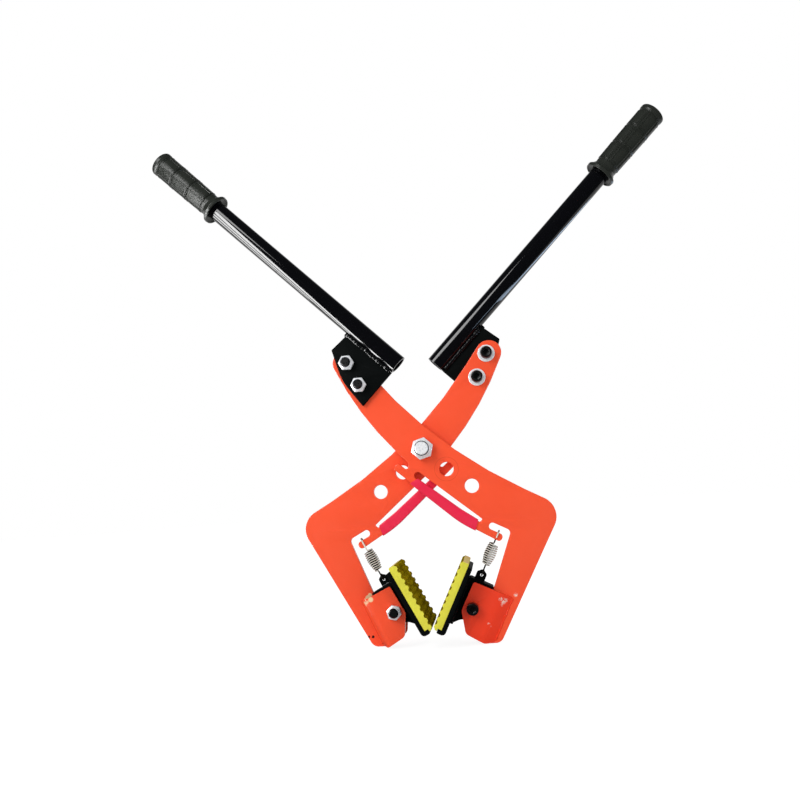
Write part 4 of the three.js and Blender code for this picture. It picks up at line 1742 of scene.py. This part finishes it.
@dataclass(frozen=True)
class Fasteners(Assembly):
    """The screws, nuts and washers of one side's handle and jaw."""

    past_nut: float = 2.4
    cheek_face: float = 20.6 * MM

    def put_screw(self, stem: str, head: Matrix, span: float) -> None:
        """Puts in one screw.

        Args:
            stem: What the name starts with, without the side.
            head: Place of the screw's head.
            span: Length of the shank that the plates and the nut hold.
        """
        self.put(cap_screw(head, span / MM + self.past_nut), f"{stem}_screw", OXIDE, f"{stem}_bolt")

    def put_nut(self, stem: str, nut: LockNut, seat: Matrix, turn: float) -> None:
        """Puts on one nut with its insert.

        Args:
            stem: What the names start with, without the side.
            nut: The nut.
            seat: Its place.
            turn: How far it is turned, in degrees.
        """
        self.put(nut.body(seat @ turned_by(turn)), f"{stem}_locknut", ZINC, f"{stem}_nut")
        self.put(nut.insert(seat), f"{stem}_insert", NYLON)

    def build(self) -> None:
        """Builds the two sets that hold the handle's bracket, and the one that the jaw swivels on."""
        face = LEVELS.bracket_middle - LEVELS.bracket / 2 - LEVELS.touch
        ring_level = LEVELS.far + LEVELS.touch
        head_level = ring_level + LEVELS.washer + LEVELS.touch
        for stem, centre in zip(("upper_handle", "lower_handle"), STRAP_HOLES):
            span = head_level - face + HANDLE_NUT.height * MM
            self.put_screw(stem, along_y(centre, head_level, False), span)
            ring = washer(12.0, SCREW_HOLE / MM, LEVELS.washer / MM, along_y(centre, ring_level, False))
            self.put(ring, f"{stem}_ring", ZINC, f"{stem}_washer")
            self.put_nut(stem, HANDLE_NUT, along_y(centre, face, True), 30)
        level = self.cheek_face + LEVELS.touch
        self.put_screw("jaw", along_y(JAW_BOLT, -level, True), 2 * level + JAW_NUT.height * MM)
        self.put_nut("jaw", JAW_NUT, along_y(JAW_BOLT, level, False), 15)


@dataclass(frozen=True)
class MainPivot:
    """The hexagon bolt, locking nut and spacer that the arms turn on. Sizes in millimetres."""

    head: float = 11.5
    thread: float = 20.0
    past_nut: float = 2.6
    spacer: tuple[float, float] = (15.0, 9.3)

    def build(self) -> None:
        """Builds the pivot's pieces on the front lever, which carries them."""
        nut, level, origin = PIVOT_NUT, LEVELS.touch - LEVELS.near, Vector((0, 0))
        back, front = along_y(origin, level, False), along_y(origin, -level, True)
        length = 2 * level / MM + nut.height + self.past_nut
        head = hexagon_head(nut.flats, self.head, back @ turned_by(30))
        bolt = join("bolt", [head, shank(nut.radius, length, self.thread, back, 48)])
        thickness = LEVELS.spacing - 2 * LEVELS.touch
        middle = along_y(origin, -thickness / 2, False)
        for made, name, finish, nodes in (
            (bolt, "pivot_screw", ZINC, ["pivot_bolt"]),
            (nut.body(front @ turned_by(-14)), "pivot_locknut", ZINC, ["pivot_nut"]),
            (nut.insert(front), "pivot_insert", NYLON, []),
            (washer(*self.spacer, thickness / MM, middle), "pivot_ring", ZINC, ["pivot_spacer"]),
        ):
            settle(made, name, finish, Side.FRONT.lever, replaces=nodes)


@dataclass(frozen=True)
class Sleeve(Assembly):
    """The rubber sleeve pushed over the arm's inner strip, whose edges are given in millimetres."""

    wall: float = 1.5 * MM
    round: float = 1.3 * MM
    inner_round: float = 0.4 * MM
    lip: float = 0.12 * MM
    steps: int = 44
    fine_step: float = math.radians(0.6)
    lower: Corners = ((-19.2, -45.4), (45, -102.6, 150), (64.3, -114))
    upper: Corners = ((-10.8, -41.1), (45, -86.6, 150), (68.2, -102.8))

    @staticmethod
    def at_share(points: Sequence[Vector], share: float) -> Vector:
        """The point at a share of a line's length.

        Args:
            points: The line's points.
            share: The share of its length, from 0 to 1.

        Returns:
            The point there.
        """
        spans = [(b - a).length for a, b in zip(points, points[1:])]
        left = share * sum(spans)
        for a, b, span in zip(points, points[1:], spans):
            if left <= span:
                return a.lerp(b, left / span)
            left -= span
        return points[-1]

    def ring(self, low: Vector, high: Vector, grow: float, corner: float) -> list[Vector]:
        """One rounded ring round the strip.

        Args:
            low: Point on the strip's lower edge.
            high: Point on its upper edge.
            grow: How far the ring stands outside the strip.
            corner: Radius of the ring's corners.

        Returns:
            The ring's points.
        """
        across = (high - low).normalized()
        start, width, half = low - across * grow, (high - low).length + 2 * grow, LEVELS.plate / 2 + grow
        corners = ((0, -half, corner), (width, -half, corner), (width, half, corner), (0, half, corner))
        return [at_level(start + across * p.x, LEVELS.middle + p.y) for p in rounded(corners, COARSE_STEP)]

    def build(self) -> None:
        """Builds the sleeve as one skin with its open ends rolled in."""
        lower, upper = (rounded(corners_mm(*line), self.fine_step) for line in (self.lower, self.upper))
        draft = Draft()
        outside, inside = [], []
        for step in range(self.steps + 1):
            low, high = (self.at_share(line, step / self.steps) for line in (lower, upper))
            lip = self.lip if step in (0, self.steps) else 0.0
            skin = LEVELS.touch + self.wall - lip
            outside.append(draft.ring(self.ring(low, high, skin, self.round - lip)))
            inside.append(draft.ring(self.ring(low, high, LEVELS.touch, self.inner_round)))
        for first, second in zip(outside, outside[1:]):
            draft.strip(second, first)
        for first, second in zip(inside, inside[1:]):
            draft.strip(first, second)
        draft.strip(outside[0], inside[0])
        draft.strip(inside[-1], outside[-1])
        self.put(draft.build("sleeve"), "sleeve_rubber", CRIMSON, "sleeve")


@dataclass(frozen=True)
class TensionSpring:
    """The coil spring between the arm's hook and the jaw's eye."""

    side: Side
    sweep: RoundSweep
    wire: float = 1.05 * MM
    top: float = 5.7 * MM
    middle: float = 7.3 * MM
    foot: float = 4.4 * MM
    turns: int = 10
    turn_steps: int = 28
    hook_steps: int = 12
    bend_steps: int = 5
    coil_start: float = 15 * MM
    coil_end: float = 44.5 * MM
    bend: float = 2.2 * MM
    eye_drop: float = 0.4 * MM
    hook_lift: float = 3 * MM
    tail: float = 4.2 * MM

    @property
    def ends(self) -> tuple[Vector, Vector]:
        """Where the spring hooks into the jaw's eye, and where it hangs on the arm."""
        return at_level(jaw_point(*SPRING_EYE), LEVELS.middle), at_level(Vector(SPRING_SEAT), LEVELS.middle)

    def coil_radius(self, along: float) -> float:
        """Radius of the coils at a height along the spring, widest in the middle.

        Args:
            along: Height above the lower hook, in metres.

        Returns:
            The radius there, in metres.
        """
        share = min(max((along - self.coil_start) / (self.coil_end - self.coil_start), 0.0), 1.0)
        bulge = self.middle - (self.foot + self.top) / 2
        return self.foot + (self.top - self.foot) * share + bulge * math.sin(math.pi * share)

    def path(self) -> list[Vector]:
        """The wire's centre line: a hook over the arm, the coils and a hook through the eye.

        Returns:
            The line's points.
        """
        foot, head = self.ends
        axis, across = (head - foot).normalized(), Vector((0, 1, 0))
        sideways = axis.cross(across)

        def at(along: float, angle: float) -> Vector:
            """A point of the coil."""
            spoke = across * math.cos(angle) + sideways * math.sin(angle)
            return foot + axis * along + self.coil_radius(along) * spoke

        def bow(centre: float, radius: float, angle: float) -> Vector:
            """A point of a hook."""
            return foot + axis * (centre + radius * math.sin(angle)) + across * radius * math.cos(angle)

        bows = [math.pi * i / self.hook_steps for i in range(self.hook_steps + 1)]
        sweeps = [QUARTER_TURN * i / self.bend_steps for i in range(self.bend_steps + 1)]
        hook, eye = (head - foot).length + self.hook_lift, self.foot - self.eye_drop
        top_turn, foot_turn = self.bend / self.top, self.bend / self.foot
        coil_angle = FULL_TURN * self.turns - top_turn - foot_turn
        coil_rise = self.coil_end - self.coil_start
        coil_steps = self.turns * self.turn_steps
        points = [bow(hook, self.top, math.pi) - axis * self.tail]
        points += [bow(hook, self.top, math.pi - angle) for angle in bows]
        for sweep in sweeps:
            rise = self.bend * (1 - math.sin(sweep))
            points.append(at(self.coil_end + rise, top_turn * (1 - math.cos(sweep))))
        for share in (i / coil_steps for i in range(1, coil_steps)):
            points.append(at(self.coil_end - coil_rise * share, top_turn + coil_angle * share))
        for sweep in sweeps:
            drop = self.bend * (1 - math.cos(sweep))
            points.append(at(self.coil_start - drop, -foot_turn * (1 - math.sin(sweep))))
        points += [bow(eye, self.foot, -angle) for angle in bows]
        return [*points, bow(eye, self.foot, -math.pi) + axis * self.tail]

    def build(self) -> None:
        """Builds the wire between the arm's hook and the jaw's eye."""
        name = self.side.node("spring_wire")
        made = self.sweep.run(name, self.path(), self.wire, SPRING)
        made.data.transform(self.side.turn)
        end, start = (self.side.turn @ place for place in self.ends)
        self.side.lever
        self.side.jaw
        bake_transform(made)
        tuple(start)
        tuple(end)
        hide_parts(self.side.node("spring"))
        count = len(made.data.polygons)
        log.info("%s: %d faces between %s and %s", name, count, self.side.lever, self.side.jaw)


@dataclass(frozen=True)
class Jaw(Assembly):
    """The swivelling jaw: back plate with its lip, folded lug, spring eye and ribbed pad.

    Its outlines are drawn in millimetres, as (ahead, up) from the jaw bolt.
    """

    welder: RoundSweep
    half_width: float = 50 * MM
    back: float = 20.6
    thickness: float = 6.0
    touch: float = 0.3
    lug_half: float = 14.0
    lug_back: float = -15.2
    lug_wall: float = 5.0
    lug_top: float = 36.0
    rib_root: float = 35.9
    rib_height: float = 2.1
    ribs: int = 10
    pad_foot: float = -41.5
    pad_top: float = 54.5
    pad_step: float = math.radians(12)
    eye_half: float = 2.5 * MM
    eye_hole: float = 2.1 * MM

    @property
    def body(self) -> str:
        """Name of the jaw's body."""
        return self.side.jaw

    def build(self) -> None:
        """Builds all of the jaw."""
        self.build_plate()
        self.build_pad()
        self.build_lug()
        self.build_eye()
        self.build_welds()

    def build_plate(self) -> None:
        """Builds the back plate with its bottom lip."""
        back, front = self.back, self.back + self.thickness
        outline = jaw_outline(corners_mm(
            (back, 49.5, 1), (back, -44.4, 5.5), (32, -44.4, 1.6), (32, -38.7, 1.6), (front, -38.7, 0.4),
            (front, 49.5, 1),
        ))
        made = plate("plate", outline, [], -self.half_width, self.half_width, 0.8 * MM)
        self.put(made, "jaw_back_plate", SATIN_BLACK, "jaw_plate")

    def build_pad(self) -> None:
        """Builds the ribbed rubber pad."""
        back, root = self.back + self.thickness + self.touch, self.rib_root
        crest, foot, top = root + self.rib_height, self.pad_foot, self.pad_top
        pitch = (top - foot) / self.ribs
        corners: list[tuple[float, ...]] = [
            (back, top, 1.5), (back, -38.4, 0.3), (32.3, -38.4, 0.3), (32.3, foot, 0.5), (root, foot, 1.0)
        ]
        for index in range(self.ribs):
            middle, wide, narrow = foot + pitch * (index + 0.5), pitch * 0.36, pitch * 0.17
            corners += [(root, middle - wide, 0.5), (crest, middle - narrow, 0.7)]
            corners += [(crest, middle + narrow, 0.7), (root, middle + wide, 0.5)]
        outline = jaw_outline(corners_mm(*corners, (root, top, 1.1)), self.pad_step)
        made = plate("pad", outline, [], -self.half_width, self.half_width, 0.7 * MM)
        self.put(made, "jaw_rubber", YELLOW, "jaw_pad")

    def build_lug(self) -> None:
        """Builds the folded lug that the jaw bolt passes through."""
        front, back, wall, top = self.back - self.touch, self.lug_back, self.lug_wall, self.lug_top
        outline = jaw_outline(corners_mm(
            (front, top, 4), (front, -33, 1), (7, -18.7, 15), (back, -18.7, 15), (back, top, 1),
        ))
        hollow = jaw_outline(corners_mm(
            (front - wall, top - wall, 2), (front - wall, -35, 0), (back - 2, -35, 0),
            (back - 2, top - wall, 0),
        ))
        half, inside = self.lug_half * MM, (self.lug_half - wall) * MM
        body = plate("lug", outline, [RoundHole(JAW_BOLT, SCREW_HOLE)], -half, half, SHARP_EDGE)
        space = plate("space", hollow, [], -inside, inside, SHARP_EDGE)
        made = bevelled(cut_by(body, space, "lug", False), "lug", 0.6 * MM)
        self.put(made, "jaw_lug_box", SATIN_BLACK, "jaw_lug")

    def build_eye(self) -> None:
        """Builds the plate that the spring hooks into."""
        foot = self.lug_top + self.touch
        outline = jaw_outline(corners_mm(
            (-1, foot, 0.3), (-0.7, 47.2, 3.5), (6.4, 51.8, 3.5), (12.9, 46.4, 3), (12.9, foot, 0.3)
        ))
        hole = RoundHole(jaw_point(*SPRING_EYE), self.eye_hole, 36)
        made = plate("eye", outline, [hole], LEVELS.middle - self.eye_half, LEVELS.middle + self.eye_half)
        self.put(made, "spring_eye_plate", SATIN_BLACK, "spring_eye")

    def build_welds(self) -> None:
        """Lays the beads along the lug's sides and round the eye's foot."""
        lug_side, middle, ahead = self.lug_half + 0.6, LEVELS.middle / MM, self.back - 1.6
        lug_line, eye_line = ((ahead, 33.0), (ahead, -31.0)), ((0.8, 36.3), (11.4, 36.3))
        for name, line, level, radius in (
            ("lug_near_weld", lug_line, -lug_side, 2.8), ("lug_far_weld", lug_line, lug_side, 2.8),
            ("eye_near_weld", eye_line, middle - 2.9, 1.6), ("eye_far_weld", eye_line, middle + 2.9, 1.6),
        ):
            points = [at_level(jaw_point(n * MM, t * MM), level * MM) for n, t in line]
            self.put(self.welder.run("bead", points, radius * MM, WELD_BLACK), name, WELD_BLACK)


# The studio


WHITE = (1.0, 1.0, 1.0, 1.0)


@dataclass(frozen=True)
class PhotoCamera:
    """The camera that stands where the photograph was taken from. Its angles are radians."""

    place: Triple = (0.08548, -1.10260, -0.06043)
    pitch: float = -0.1030
    yaw: float = 0.1171
    roll: float = -0.0792
    focal_px: float = 796.36
    centre_px: tuple[float, float] = (388.42, 413.45)
    frame_px: float = 800.0
    sensor: float = 36.0

    def build(self) -> None:
        """Makes the camera and points it."""
        data = bpy.data.cameras.new("photo_camera")
        data.sensor_width = self.sensor
        data.lens = self.focal_px / self.frame_px * self.sensor
        data.shift_x = 0.5 - self.centre_px[0] / self.frame_px
        data.shift_y = self.centre_px[1] / self.frame_px - 0.5
        data.clip_start, data.clip_end = 0.05, 60.0
        camera = linked("photo_camera", data)
        level = Matrix(((1, 0, 0), (0, 0, -1), (0, 1, 0)))
        flip = Matrix(((1, 0, 0), (0, -1, 0), (0, 0, -1)))
        angles = (self.pitch, self.yaw, self.roll)
        pitch, yaw, roll = (Matrix.Rotation(angle, 3, axis) for angle, axis in zip(angles, "XYZ"))
        turn = (flip @ roll @ yaw @ pitch @ level).transposed()
        camera.matrix_world = Matrix.Translation(self.place) @ turn.to_4x4()
        bpy.context.scene.camera = camera


@dataclass(frozen=True)
class Lamp:
    """A soft rectangular lamp that points at the clamp and shows in no reflection."""

    name: str
    place: Triple
    size: float
    power: float

    def build(self) -> None:
        """Makes the lamp."""
        data = bpy.data.lights.new(self.name, "AREA")
        data.shape = "RECTANGLE"
        data.size = data.size_y = self.size
        data.energy = self.power
        lamp = linked(self.name, data)
        lamp.visible_glossy = False
        turn = (-Vector(self.place)).to_track_quat("-Z", "Y").to_matrix()
        lamp.matrix_world = Matrix.Translation(self.place) @ turn.to_4x4()


def bare_material(name: str) -> tuple[Material, NodeKit]:
    """Args:
        name: The material's name.

    Returns:
        The material and its kit.
    """
    material = bpy.data.materials.new(name)
    material.use_nodes = True
    kit = NodeKit(material.node_tree)
    kit.group.nodes.remove(kit.group.nodes["Principled BSDF"])
    return material, kit


def show(material: Material, shader: Node) -> None:
    """Makes a shader a material's surface."""
    tree = material.node_tree
    tree.links.new(shader.outputs[0], tree.nodes["Material Output"].inputs["Surface"])


@dataclass(frozen=True)
class Card:
    """Flat boards of one brightness that show in reflections only."""

    name: str
    boards: tuple[tuple[Triple, ...], ...]
    colour: Colour
    strength: float = 1.0

    def build(self) -> None:
        """Makes the boards as one staged object."""
        draft = Draft()
        for board in self.boards:
            draft.faces.append(tuple(draft.ring([Vector(corner) for corner in board])))
        card = draft.build(self.name)
        material, kit = bare_material(self.name)
        show(material, kit.add("ShaderNodeEmission", Color=self.colour, Strength=self.strength))
        card.data.materials.append(material)
        for kind in ("camera", "diffuse", "transmission", "volume_scatter", "shadow"):
            setattr(card, f"visible_{kind}", False)
        card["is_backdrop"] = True


@dataclass(frozen=True)
class Streak:
    """A bright strip beside a handle tube, which draws a streak along that tube.

    Each station is a distance along the tube in metres, and the two angles round the tube between which the
    strip lies there, from the front towards the bracket, in degrees.
    """

    name: str
    side: Side
    stations: tuple[Triple, ...]
    colour: Colour
    strength: float
    distance: ClassVar[float] = 0.48

    def corner(self, place: float, angle: float) -> Triple:
        """A corner of the strip, at a distance along the tube and an angle round it.

        Args:
            place: Distance along the tube, in metres.
            angle: Angle round the tube, in degrees.

        Returns:
            The corner in the model's frame.
        """
        sign = 1 if self.side is Side.FRONT else -1
        foot = Vector((HANDLE_FOOT.x * sign, LEVELS.bracket_middle * sign, HANDLE_FOOT.y))
        along, towards = Vector((-sign, 0, 1)).normalized(), Vector((-sign, 0, -1)).normalized()
        turn = math.radians(angle)
        way = Vector((0, -1, 0)) * math.cos(turn) + towards * math.sin(turn)
        return tuple(foot + along * place + way * self.distance)

    def card(self) -> Card:
        """The strip as a card.

        Returns:
            One board between each two stations.
        """
        corner = self.corner
        boards = tuple(
            (corner(here, low), corner(here, high), corner(there, next_high), corner(there, next_low))
            for (here, low, high), (there, next_low, next_high) in zip(self.stations, self.stations[1:])
        )
        return Card(self.name, boards, self.colour, self.strength)


@dataclass(frozen=True)
class Studio:
    """White floor, white surroundings, plain soft light and cards for the reflections."""

    floor_level: float
    floor_reach: float = 8.0
    floor_colour: Colour = linear(240, 240, 240)
    ambient: float = 0.5
    glow_share: float = 0.72
    glow: float = 1.25
    shade: Triple = (2.2, 2.2, 2.4)
    shade_colour: Colour = linear(70, 72, 74)
    shade_back: float = 0.9
    roof_back: float = 2.0
    apron_back: float = 0.05
    top_board: tuple[Triple, ...] = (
        (-1.5, -1.4, 0.9), (-0.6, -1.9, 0.9), (-0.6, -1.6, 1.7), (-1.5, -1.1, 1.7)
    )
    top_strength: float = 12.0
    lamps: tuple[Lamp, ...] = (
        Lamp("key", (-1.1, -1.5, 1.0), 1.0, 21.0),
        Lamp("fill", (1.2, -1.6, 0.1), 1.2, 5.0),
        Lamp("back", (0.4, 1.9, 1.0), 1.4, 7.0),
    )
    streaks: tuple[Streak, ...] = (
        Streak(
            "left_strip_1", Side.FRONT,
            ((0.0, 76, 88), (0.1, 80, 96), (0.35, 46, 66), (0.62, 11, 42)),
            WHITE, 30.0,
        ),
        Streak("left_strip_2", Side.FRONT, ((0.1, 106, 112), (0.35, 76, 90), (0.62, 50, 72)), WHITE, 24.0),
        Streak("left_strip_3", Side.FRONT, ((0.3, 104, 112), (0.62, 82, 103)), WHITE, 14.0),
        Streak(
            "right_strip", Side.REAR,
            (
                (0.1, 62, 65), (0.18, 68, 73), (0.2, 66, 110), (0.25, 96, 116), (0.38, 122, 136),
                (0.5, 142, 146),
            ),
            linear(205, 228, 255), 11.0,
        ),
    )

    def build(self) -> None:
        """Makes the floor, the surroundings, the lamps and the cards."""
        self.build_floor()
        self.build_world()
        cards = [self.dark_boards(), Card("top_light", (self.top_board,), WHITE, self.top_strength)]
        for item in (*self.lamps, *cards, *(streak.card() for streak in self.streaks)):
            item.build()

    def dark_boards(self) -> Card:
        """The boards round the front that keep the white surroundings out of the paint.

        Returns:
            The boards as one card.
        """
        wide, deep, high = self.shade
        low = self.floor_level + 3 * MM
        upright = [((-wide, -deep), (wide, -deep)), ((-wide, -deep), (-wide, self.shade_back))]
        upright.append(((wide, -deep), (wide, self.shade_back)))
        boards = [((*a, low), (*b, low), (*b, high), (*a, high)) for a, b in upright]
        for level, back in ((high, self.roof_back), (low, self.apron_back)):
            corners = ((-wide, -deep), (wide, -deep), (wide, back), (-wide, back))
            boards.append(tuple((*corner, level) for corner in corners))
        return Card("dark_boards", tuple(boards), self.shade_colour)

    @staticmethod
    def seen_directly(kit: NodeKit) -> NodeSocket:
        """A share that is 1 for camera, glossy and transmission rays.

        Args:
            kit: The nodes of a material or the world.

        Returns:
            The share's socket.
        """
        rays = kit.add("ShaderNodeLightPath").outputs
        value = kit.math("MAXIMUM", rays["Is Camera Ray"], rays["Is Glossy Ray"])
        return kit.math("MAXIMUM", value, rays["Is Transmission Ray"])

    def build_floor(self) -> None:
        """Makes the floor, which keeps the clamp's shadow and fades into white."""
        draft = Draft()
        rim = circle(Vector((0, 0)), self.floor_reach, 64)
        draft.faces.append(tuple(draft.ring([Vector((p.x, p.y, self.floor_level)) for p in rim])))
        floor = draft.build("floor")
        material, kit = bare_material("floor_white")
        diffuse = kit.add("ShaderNodeBsdfDiffuse", Color=self.floor_colour)
        glow = kit.add("ShaderNodeEmission", Strength=self.glow)
        share = kit.math("MULTIPLY", self.seen_directly(kit), self.glow_share)
        mixed = kit.add("ShaderNodeMixShader")
        for socket, value in zip(mixed.inputs, (share, diffuse.outputs[0], glow.outputs[0])):
            kit.connect(socket, value)
        show(material, mixed)
        floor.data.materials.append(material)
        floor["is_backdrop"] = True

    def build_world(self) -> None:
        """Makes the world white where it is seen, and plain light elsewhere."""
        world = bpy.data.worlds.new("white_studio")
        world.use_nodes = True
        bpy.context.scene.world = world
        kit = NodeKit(world.node_tree)
        background = kit.group.nodes["Background"]
        background.inputs["Color"].default_value = WHITE
        seen = self.seen_directly(kit)
        strength = kit.add("ShaderNodeMapRange", Value=seen, To_Min=self.ambient, To_Max=1.0)
        kit.connect(background.inputs["Strength"], strength.outputs[0])


def main() -> None:
    """Builds the camera, both sides of the clamp, the main pivot and the studio."""
    logging.basicConfig(level=logging.INFO, format="%(message)s")
    bpy.context.scene.view_settings.view_transform = "Standard"
    PhotoCamera().build()
    sweep, repeat = sweep_tree(), repeat_tree()
    welder = RoundSweep(
        sweep, 0.5 * MM, ripple_share=0.1, ripple_pitch=5.2 * MM, lump=2.4 * MM, lump_scale=120.0
    )
    wire = RoundSweep(sweep, 0.45 * MM)
    for side in Side:
        for part in (
            LeverArm(side), Cheeks(side, welder), Handle(side, welder, repeat), Fasteners(side), Sleeve(side),
            TensionSpring(side, wire), Jaw(side, welder),
        ):
            part.build()
    MainPivot().build()
    Studio(floor_level=packed_box[0][2] - 0.5 * MM).build()


if __name__ == "__main__":
    main()
